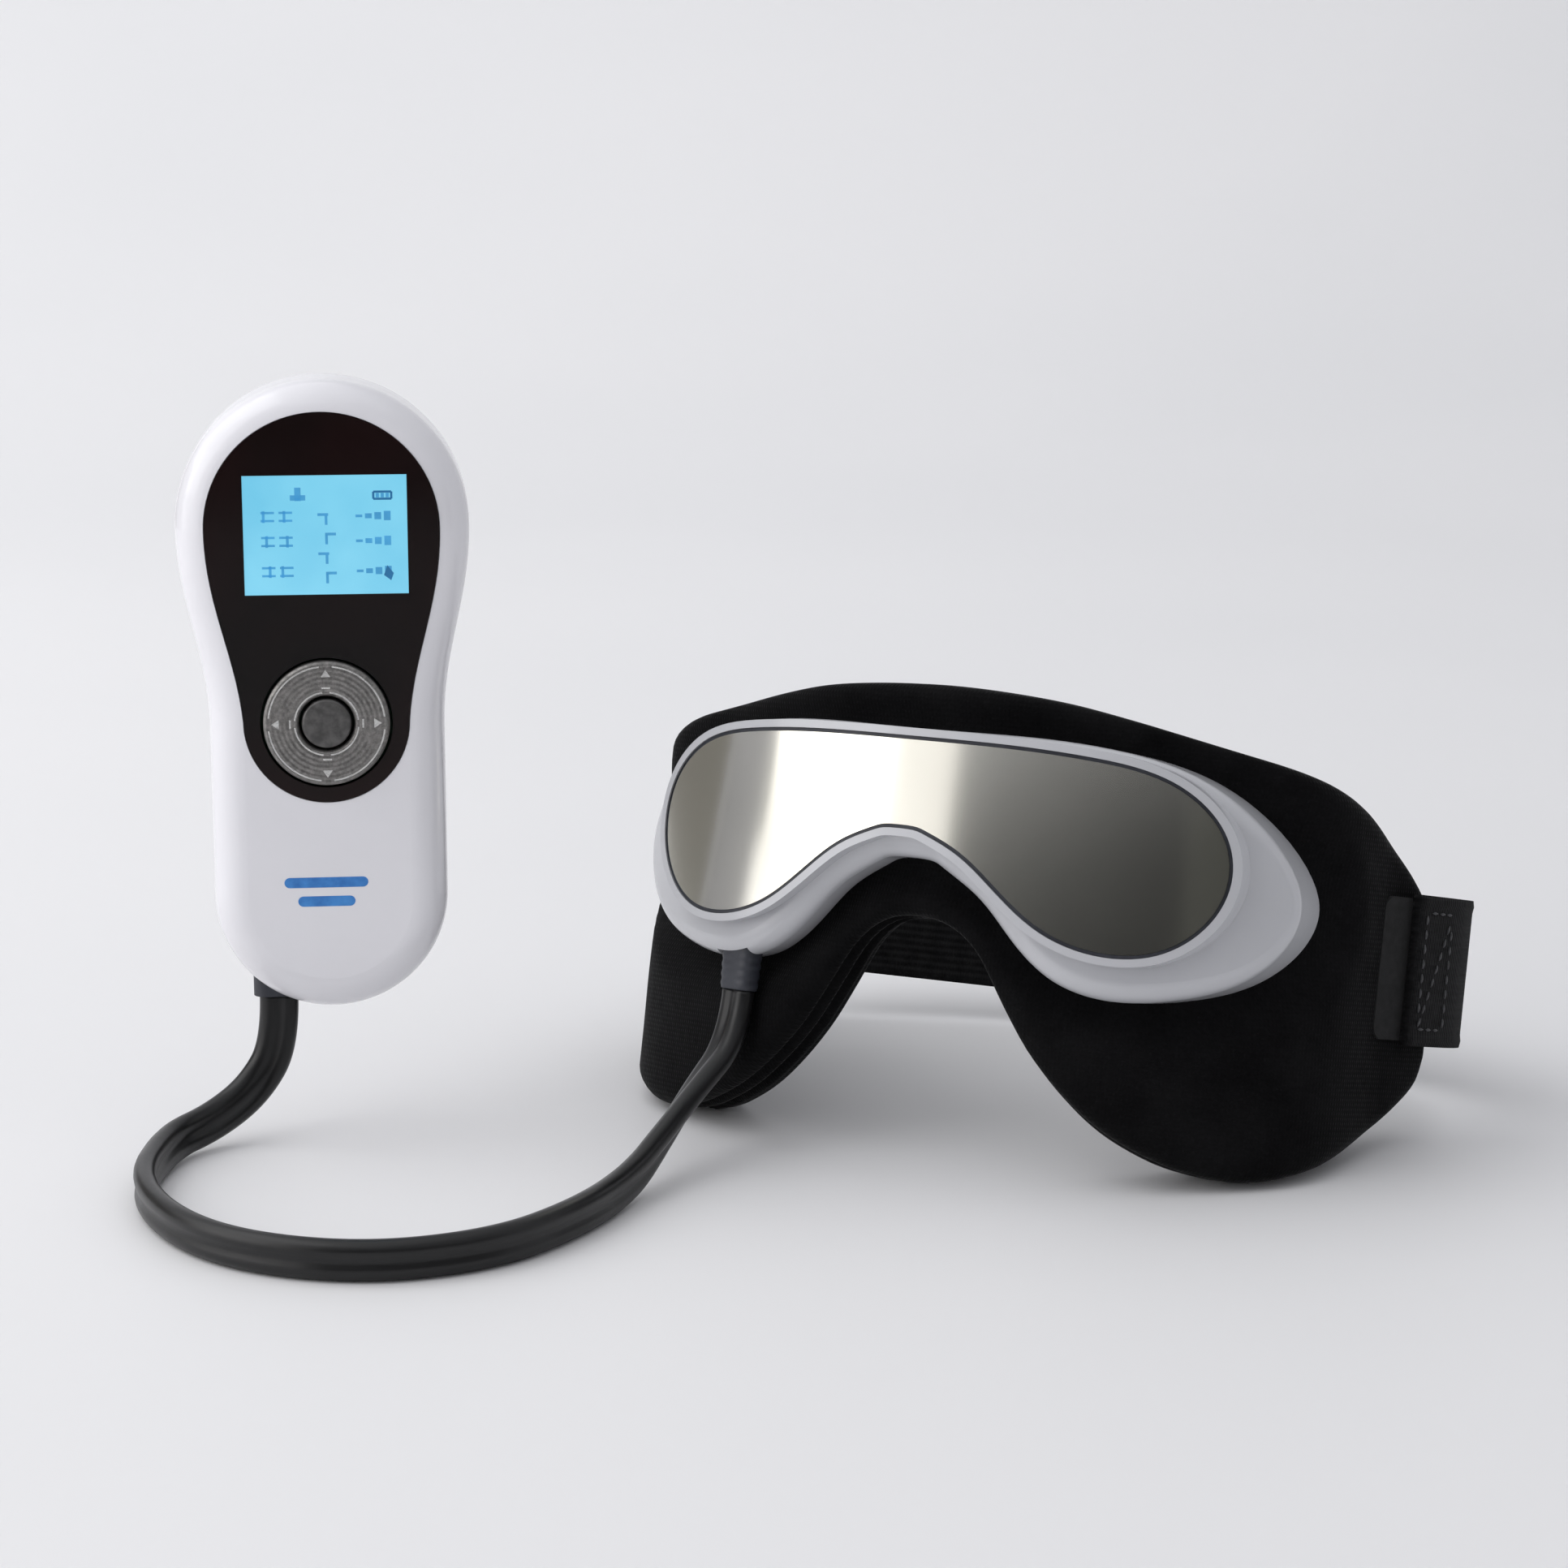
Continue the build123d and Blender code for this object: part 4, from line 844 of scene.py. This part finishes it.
def spline_points(route, resolution=24):
    """Points of the smooth NURBS line that has the route's points as its control points."""
    data = bpy.data.curves.new("route", "CURVE")
    data.dimensions = "3D"
    data.resolution_u = resolution
    spline = data.splines.new("NURBS")
    spline.points.add(len(route) - 1)
    for control, point in zip(spline.points, route):
        control.co = (*point, 1)
    spline.order_u = 3
    spline.use_endpoint_u = True
    holder = bpy.data.objects.new("route", data)
    bpy.context.scene.collection.objects.link(holder)
    bpy.context.view_layer.update()
    mesh = bpy.data.meshes.new_from_object(holder)
    line = [vertex.co.copy() for vertex in mesh.vertices]
    bpy.data.objects.remove(holder)
    bpy.data.meshes.remove(mesh)
    return line


def rolling_frames(line):
    """Tangents of a line, and cross directions carried along it without twist."""
    tangents = [(after - before).normalized() for before, after in zip(line, line[1:])]
    tangents.append(tangents[-1])
    across = ctl_x.copy()
    carried = []
    for tangent in tangents:
        across = (across - tangent * across.dot(tangent)).normalized()
        carried.append(across.copy())
    return tangents, carried


def turn_from(carried, tangent, wanted):
    """Angle from a carried direction to a wanted one, about the tangent."""
    flat = (wanted - tangent * wanted.dot(tangent)).normalized()
    return np.arctan2(tangent.dot(carried.cross(flat)), carried.dot(flat))


def twin_section():
    """Outline of the twin hose: two round tubes with a shallow groove between them."""
    reach = HOSE_WIDTH / 2 - TUBE_RADIUS
    outline = []
    for turn in np.linspace(-0.70 * pi, 0.70 * pi, 15):
        outline.append((reach + TUBE_RADIUS * cos(turn), TUBE_RADIUS * sin(turn)))
    for turn in np.linspace(0.30 * pi, 1.70 * pi, 15):
        outline.append((-reach + TUBE_RADIUS * cos(turn), TUBE_RADIUS * sin(turn)))
    return outline


def add_hose():
    """Flat twin air hose from the controller's foot to the mask's lower edge."""
    line = spline_points(HOSE_ROUTE)
    tangents, carried = rolling_frames(line)
    lengths = np.concatenate([[0], np.cumsum([(b - a).length for a, b in zip(line, line[1:])])])
    shares = lengths / lengths[-1]
    relief_way = mask_x * cos(RELIEF_ARC / WRAP) + mask_back * sin(RELIEF_ARC / WRAP)
    keys = [(0.0, ctl_x), (0.05, ctl_x), (0.30, -ctl_y), (0.42, -ctl_y), (0.76, -ctl_y), (1.0, -relief_way)]
    turns = []
    for share, wanted in keys:
        index = int(np.argmin(np.abs(shares - share)))
        turn = turn_from(carried[index], tangents[index], wanted)
        if turns:
            turn += tau / 2 * round((turns[-1] - turn) / (tau / 2))
        turns.append(turn)
    section = twin_section()
    points, flats = [], []
    for middle, tangent, across, share, length in zip(line, tangents, carried, shares, lengths):
        after = next((index for index, key in enumerate(keys) if key[0] > share), len(keys) - 1)
        (low, _), (high, _) = keys[after - 1], keys[after]
        blend = float(smooth_step((share - low) / (high - low)))
        turn = turns[after - 1] + (turns[after] - turns[after - 1]) * blend
        wide = Matrix.Rotation(turn, 3, tangent) @ across
        thick = tangent.cross(wide)
        for index, (a, b) in enumerate(section):
            point = middle + wide * a + thick * b
            point.z = max(point.z, FLOOR_GAP / 3)
            points.append(point)
            flats.append((length, index / len(section) * HOSE_GIRTH))
    hose = add_piece("twin_air_hose", points, tube_faces(len(line), len(section)), HOSE,
                     flat_places=flats)
    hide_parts("air_hose")
    boot = add_boot()


def add_boot():
    """Tapered, ringed strain relief where the hose enters the mask's lower edge."""
    points = []
    rings = 40
    around = 28
    tangent_way = mask_x * cos(RELIEF_ARC / WRAP) + mask_back * sin(RELIEF_ARC / WRAP)
    outward = mask_x * sin(RELIEF_ARC / WRAP) - mask_back * cos(RELIEF_ARC / WRAP)
    span = RELIEF_TOP - RELIEF_END
    for step in range(rings + 1):
        share = step / rings
        height = RELIEF_TOP - span * share
        taper = 1 - 0.10 * share ** 2
        ribs = 0.5 + 0.5 * cos(tau * (share - BOOT_RIBS_FROM) * 9)
        ribbed = 1 - 0.05 * ribs * (share > BOOT_RIBS_FROM)
        wide, deep = BOOT_SIZE[0] * taper * ribbed, BOOT_SIZE[1] * taper * ribbed
        middle = on_wrap(RELIEF_ARC, height, RELIEF_DEPTH)
        for turn in range(around):
            angle = tau * turn / around
            side = abs(cos(angle)) ** 0.6 * (1 if cos(angle) > 0 else -1)
            front = abs(sin(angle)) ** 0.6 * (1 if sin(angle) > 0 else -1)
            points.append(middle + tangent_way * (wide * side) + outward * (deep * front))
    boot = add_piece("hose_boot", points, tube_faces(rings + 1, around), RUBBER)
    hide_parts("mask_strain_relief")
    return boot


add_hose()

# ---------------------------------------------------------------- display, keys, mark
LCD_OUT = 0.0151
PRINT_THICK = 0.00004
MARK_THICK = 0.00005
LCD_AT = (0.0008, 0.1104)
NAV_TOP = 0.0165


def flat_shapes(name, outlines, out, thick, material, body=BODY):
    """Thin raised shapes on the controller's face, each from an outline of (across, along)."""
    points, faces = [], []
    for outline in outlines:
        first = len(points)
        count = len(outline)
        for level in (out, out + thick):
            points += [on_controller(across, along, level) for across, along in outline]
        faces.append(tuple(first + count + index for index in range(count)))
        faces.append(tuple(first + index for index in range(count - 1, -1, -1)))
        for index in range(count):
            after = (index + 1) % count
            faces.append((first + index, first + after, first + count + after, first + count + index))
    piece = add_piece(name, points, faces, material, body=body)
    piece.data.polygons.foreach_set("use_smooth", [False] * len(piece.data.polygons))
    return piece


def bar(across, along, width, height):
    """Rectangle outline from its middle."""
    return [(across - width / 2, along - height / 2), (across + width / 2, along - height / 2),
            (across + width / 2, along + height / 2), (across - width / 2, along + height / 2)]


def disc(across, along, radius, start=0.0, end=tau, count=24):
    """Round outline, or a slice of one."""
    turns = np.linspace(start, end, count, endpoint=end - start < tau - 1e-6)
    return [(across + radius * cos(turn), along + radius * sin(turn)) for turn in turns]


def arc_band(across, along, radius, width, start, end, count=16):
    """Curved band outline round a centre."""
    outer = disc(across, along, radius + width / 2, start, end, count)
    inner = disc(across, along, radius - width / 2, start, end, count)
    return outer + inner[::-1]


def display_icons():
    """Generic icons on the display: bars, ticks, a clock, a battery and rows of segments."""
    x0, y0 = LCD_AT
    deep, soft = [], []
    soft.append(bar(x0 - 0.0060, y0 + 0.0092, 0.0014, 0.0030))
    soft.append(bar(x0 - 0.0060, y0 + 0.0084, 0.0034, 0.0012))
    deep += [bar(x0 + 0.0128, y0 + 0.0096, 0.0040, 0.0005), bar(x0 + 0.0128, y0 + 0.0080, 0.0040, 0.0005),
             bar(x0 + 0.0108, y0 + 0.0088, 0.0005, 0.0016), bar(x0 + 0.0148, y0 + 0.0088, 0.0005, 0.0016)]
    soft += [bar(x0 + 0.0117 + 0.0011 * step, y0 + 0.0088, 0.0007, 0.0010) for step in range(3)]
    for row, along in enumerate((0.0042, -0.0014, -0.0082)):
        for column, across in enumerate((-0.0128, -0.0088)):
            soft.append(bar(x0 + across, y0 + along + 0.0009, 0.0030, 0.0005))
            soft.append(bar(x0 + across, y0 + along - 0.0009, 0.0030, 0.0005))
            shift = 0.0006 * ((row + column) % 3)
            soft.append(bar(x0 + across - 0.0009 + shift, y0 + along, 0.0006, 0.0026))
        soft += [bar(x0 + 0.0075 + 0.0021 * step, y0 + along, 0.0015, 0.0006 + 0.0005 * step)
                 for step in range(4)]
    for step in range(4):
        shift = 0.0009 if step % 2 else -0.0007
        soft.append(bar(x0 + 0.0002 + shift, y0 + 0.0046 - 0.0044 * step, 0.0024, 0.0006))
        soft.append(bar(x0 + 0.0002, y0 + 0.0034 - 0.0044 * step, 0.0006, 0.0022))
    deep.append([(x0 + 0.0128, y0 - 0.0092), (x0 + 0.0144, y0 - 0.0104), (x0 + 0.0150, y0 - 0.0088),
                 (x0 + 0.0136, y0 - 0.0070)])
    return deep, soft


def glowing(name, color, strength):
    """Lit print on the display."""
    dark = tuple(0.4 * value for value in color)
    light = tuple(0.6 * value for value in color)
    material = speckled(name, dark, light, 0.3)
    shader = material.node_tree.nodes["Principled BSDF"]
    shader.inputs["Emission Color"].default_value = (*color, 1)
    shader.inputs["Emission Strength"].default_value = strength
    return material


deep_icons, soft_icons = display_icons()
ICON_BLUE = glowing("icon_blue", (0.06, 0.34, 0.64), 0.6)
flat_shapes("display_icons", soft_icons, LCD_OUT, PRINT_THICK, ICON_BLUE)
ICON_DEEP_BLUE = glowing("icon_deep_blue", (0.02, 0.17, 0.38), 0.5)
flat_shapes("display_marks", deep_icons, LCD_OUT, MARK_THICK, ICON_DEEP_BLUE)


def nav_marks():
    """Arrowheads and small bars on the navigation key, at its four pressing points."""
    arrowhead = [(-0.0011, 0.0107), (0.0011, 0.0107), (0, 0.0124)]
    marks = []
    for quarter in range(4):
        turn = tau * quarter / 4
        for shape in (arrowhead, bar(0, 0.0082, 0.0020, 0.0004)):
            marks.append([(x * cos(turn) - y * sin(turn), NAV_ALONG + x * sin(turn) + y * cos(turn))
                          for x, y in shape])
    return marks


MARK_SILVER = speckled("mark_silver", (0.55, 0.55, 0.54), (0.75, 0.75, 0.73), 0.25, 0.9, scale=600)
flat_shapes("nav_marks", nav_marks(), NAV_TOP, MARK_THICK, MARK_SILVER, body="nav_ring")
rings = [arc_band(0, NAV_ALONG, radius, 0.00035, start, start + 1.35)
         for radius in (0.0072, 0.0131) for start in (0.11, 1.68, 3.25, 4.82)]
flat_shapes("nav_rings", rings, NAV_TOP, PRINT_THICK, MARK_SILVER, body="nav_ring")


def pill(across, along, width, height, count=10):
    """Rounded bar outline."""
    reach = (width - height) / 2
    right = disc(across + reach, along, height / 2, -pi / 2, pi / 2, count)
    left = disc(across - reach, along, height / 2, pi / 2, 3 * pi / 2, count)
    return right + left


MARK_AT = (-0.0010, 0.0285)
SHELL_OUT = 0.015
MARK_BLUE = speckled("mark_blue", (0.02, 0.16, 0.50), (0.05, 0.26, 0.66), 0.3, scale=300)
marks = [pill(MARK_AT[0], MARK_AT[1] + 0.0022 - 0.0044 * row, 0.019 - 0.006 * row, 0.0024)
         for row in range(2)]
flat_shapes("plain_mark", marks, SHELL_OUT, PRINT_THICK, MARK_BLUE)

# ---------------------------------------------------------------- studio
BOWL_FLAT = 1.1
BOWL_RADIUS = 3.2
BOWL_RISE = 2.4


def studio_paper():
    """Pale matt sweep with the slightest mottling."""
    material = new_material("studio_paper", (0.80, 0.80, 0.81), 0.6)
    where = places(material, cloth=False)
    vary_color(material, noise(material, where, 1.5, 2), (0.785, 0.785, 0.795), (0.815, 0.812, 0.82))
    return material


def add_bowl():
    """Pale floor that curves up all round like a studio cove."""
    profile = [(0.0, 0.0), (0.3, 0.0), (0.6, 0.0), (BOWL_FLAT, 0.0)]
    for step in range(1, 25):
        turn = pi / 2 * step / 24
        profile.append((BOWL_FLAT + (BOWL_RADIUS - BOWL_FLAT) * sin(turn), BOWL_RISE * (1 - cos(turn))))
    around = 96
    points = [(0, 0, 0)]
    for radius, height in profile[1:]:
        points += [(radius * cos(tau * turn / around), radius * sin(tau * turn / around), height)
                   for turn in range(around)]
    faces = [(0, 1 + turn, 1 + (turn + 1) % around) for turn in range(around)]
    for ring in range(len(profile) - 2):
        for turn in range(around):
            after = (turn + 1) % around
            here, there = 1 + ring * around, 1 + (ring + 1) * around
            faces.append((here + turn, there + turn, there + after, here + after))
    mesh = bpy.data.meshes.new("studio_floor")
    mesh.from_pydata(points, [], faces)
    mesh.polygons.foreach_set("use_smooth", [True] * len(mesh.polygons))
    floor = bpy.data.objects.new("studio_floor", mesh)
    mesh.materials.append(studio_paper())
    bpy.context.scene.collection.objects.link(floor)


def add_light(name, turn, rise, distance, size, power, color=(1, 1, 1), aim=CAMERA_TARGET):
    """Soft area light aimed at a place; turn is from the front towards the right."""
    data = bpy.data.lights.new(name, "AREA")
    data.shape = "RECTANGLE"
    data.size, data.size_y = size
    data.energy = power
    data.color = color
    light = bpy.data.objects.new(name, data)
    turn, rise = radians(turn), radians(rise)
    back = Vector((sin(turn) * cos(rise), -cos(turn) * cos(rise), sin(rise)))
    light.location = Vector(aim) + back * distance
    light.rotation_euler = back.to_track_quat("Z", "Y").to_euler()
    light.visible_camera = False
    bpy.context.scene.collection.objects.link(light)


def add_card(name, turn, low, high, distance, width, shade):
    """Upright card in front of the object, seen only in reflections, lighter towards its top."""
    mesh = bpy.data.meshes.new(name)
    centre = radians(turn)
    half = width / 2
    middle = CAMERA_TARGET + Vector((sin(centre), -cos(centre), 0)) * distance
    side = Vector((cos(centre), sin(centre), 0)) * half
    corners = [middle - side, middle + side, middle + side, middle - side]
    heights = (low, low, high, high)
    points = [(corner.x, corner.y, height) for corner, height in zip(corners, heights)]
    mesh.from_pydata(points, [], [(0, 1, 2, 3)])
    card = bpy.data.objects.new(name, mesh)
    material = new_material(name, shade, 0.9)
    upwards = add_node(material, "ShaderNodeSeparateXYZ")
    link(material, places(material, cloth=False), upwards.inputs["Vector"])
    light_top = tuple(0.25 + 0.75 * value for value in shade)
    vary_color(material, maths(material, "DIVIDE", upwards.outputs["Z"], high), shade, light_top, 0.72, 1.0)
    mesh.materials.append(material)
    bpy.context.scene.collection.objects.link(card)
    card.visible_camera = False
    card.visible_shadow = False
    card.visible_diffuse = False


def add_world():
    """Even pale surroundings."""
    world = bpy.data.worlds.new("studio")
    world.use_nodes = True
    background = world.node_tree.nodes["Background"]
    background.inputs["Color"].default_value = (0.95, 0.96, 1.0, 1)
    background.inputs["Strength"].default_value = 0.58
    bpy.context.scene.world = world


add_bowl()
add_world()
add_light("key_left", -55, 38, 1.8, (2.0, 2.0), 17)
add_light("card_left", -37, 10, 1.25, (1.35, 0.9), 2.7, (1.0, 0.965, 0.92))
add_light("top_soft", -20, 80, 1.7, (2.2, 2.2), 6.5)
add_light("backdrop_left", 50, 40, 2.2, (1.4, 1.4), 14, aim=(-2.5, 1.9, 0.7))
add_card("dark_card_right", 21, 0.01, 0.44, 1.15, 1.27, (0.003, 0.0035, 0.002))
add_card("dark_card_side", 70, 0.01, 0.44, 1.20, 0.95, (0.035, 0.036, 0.030))
add_card("grey_card_left", -92, 0.01, 0.50, 1.15, 1.0, (0.22, 0.21, 0.19))
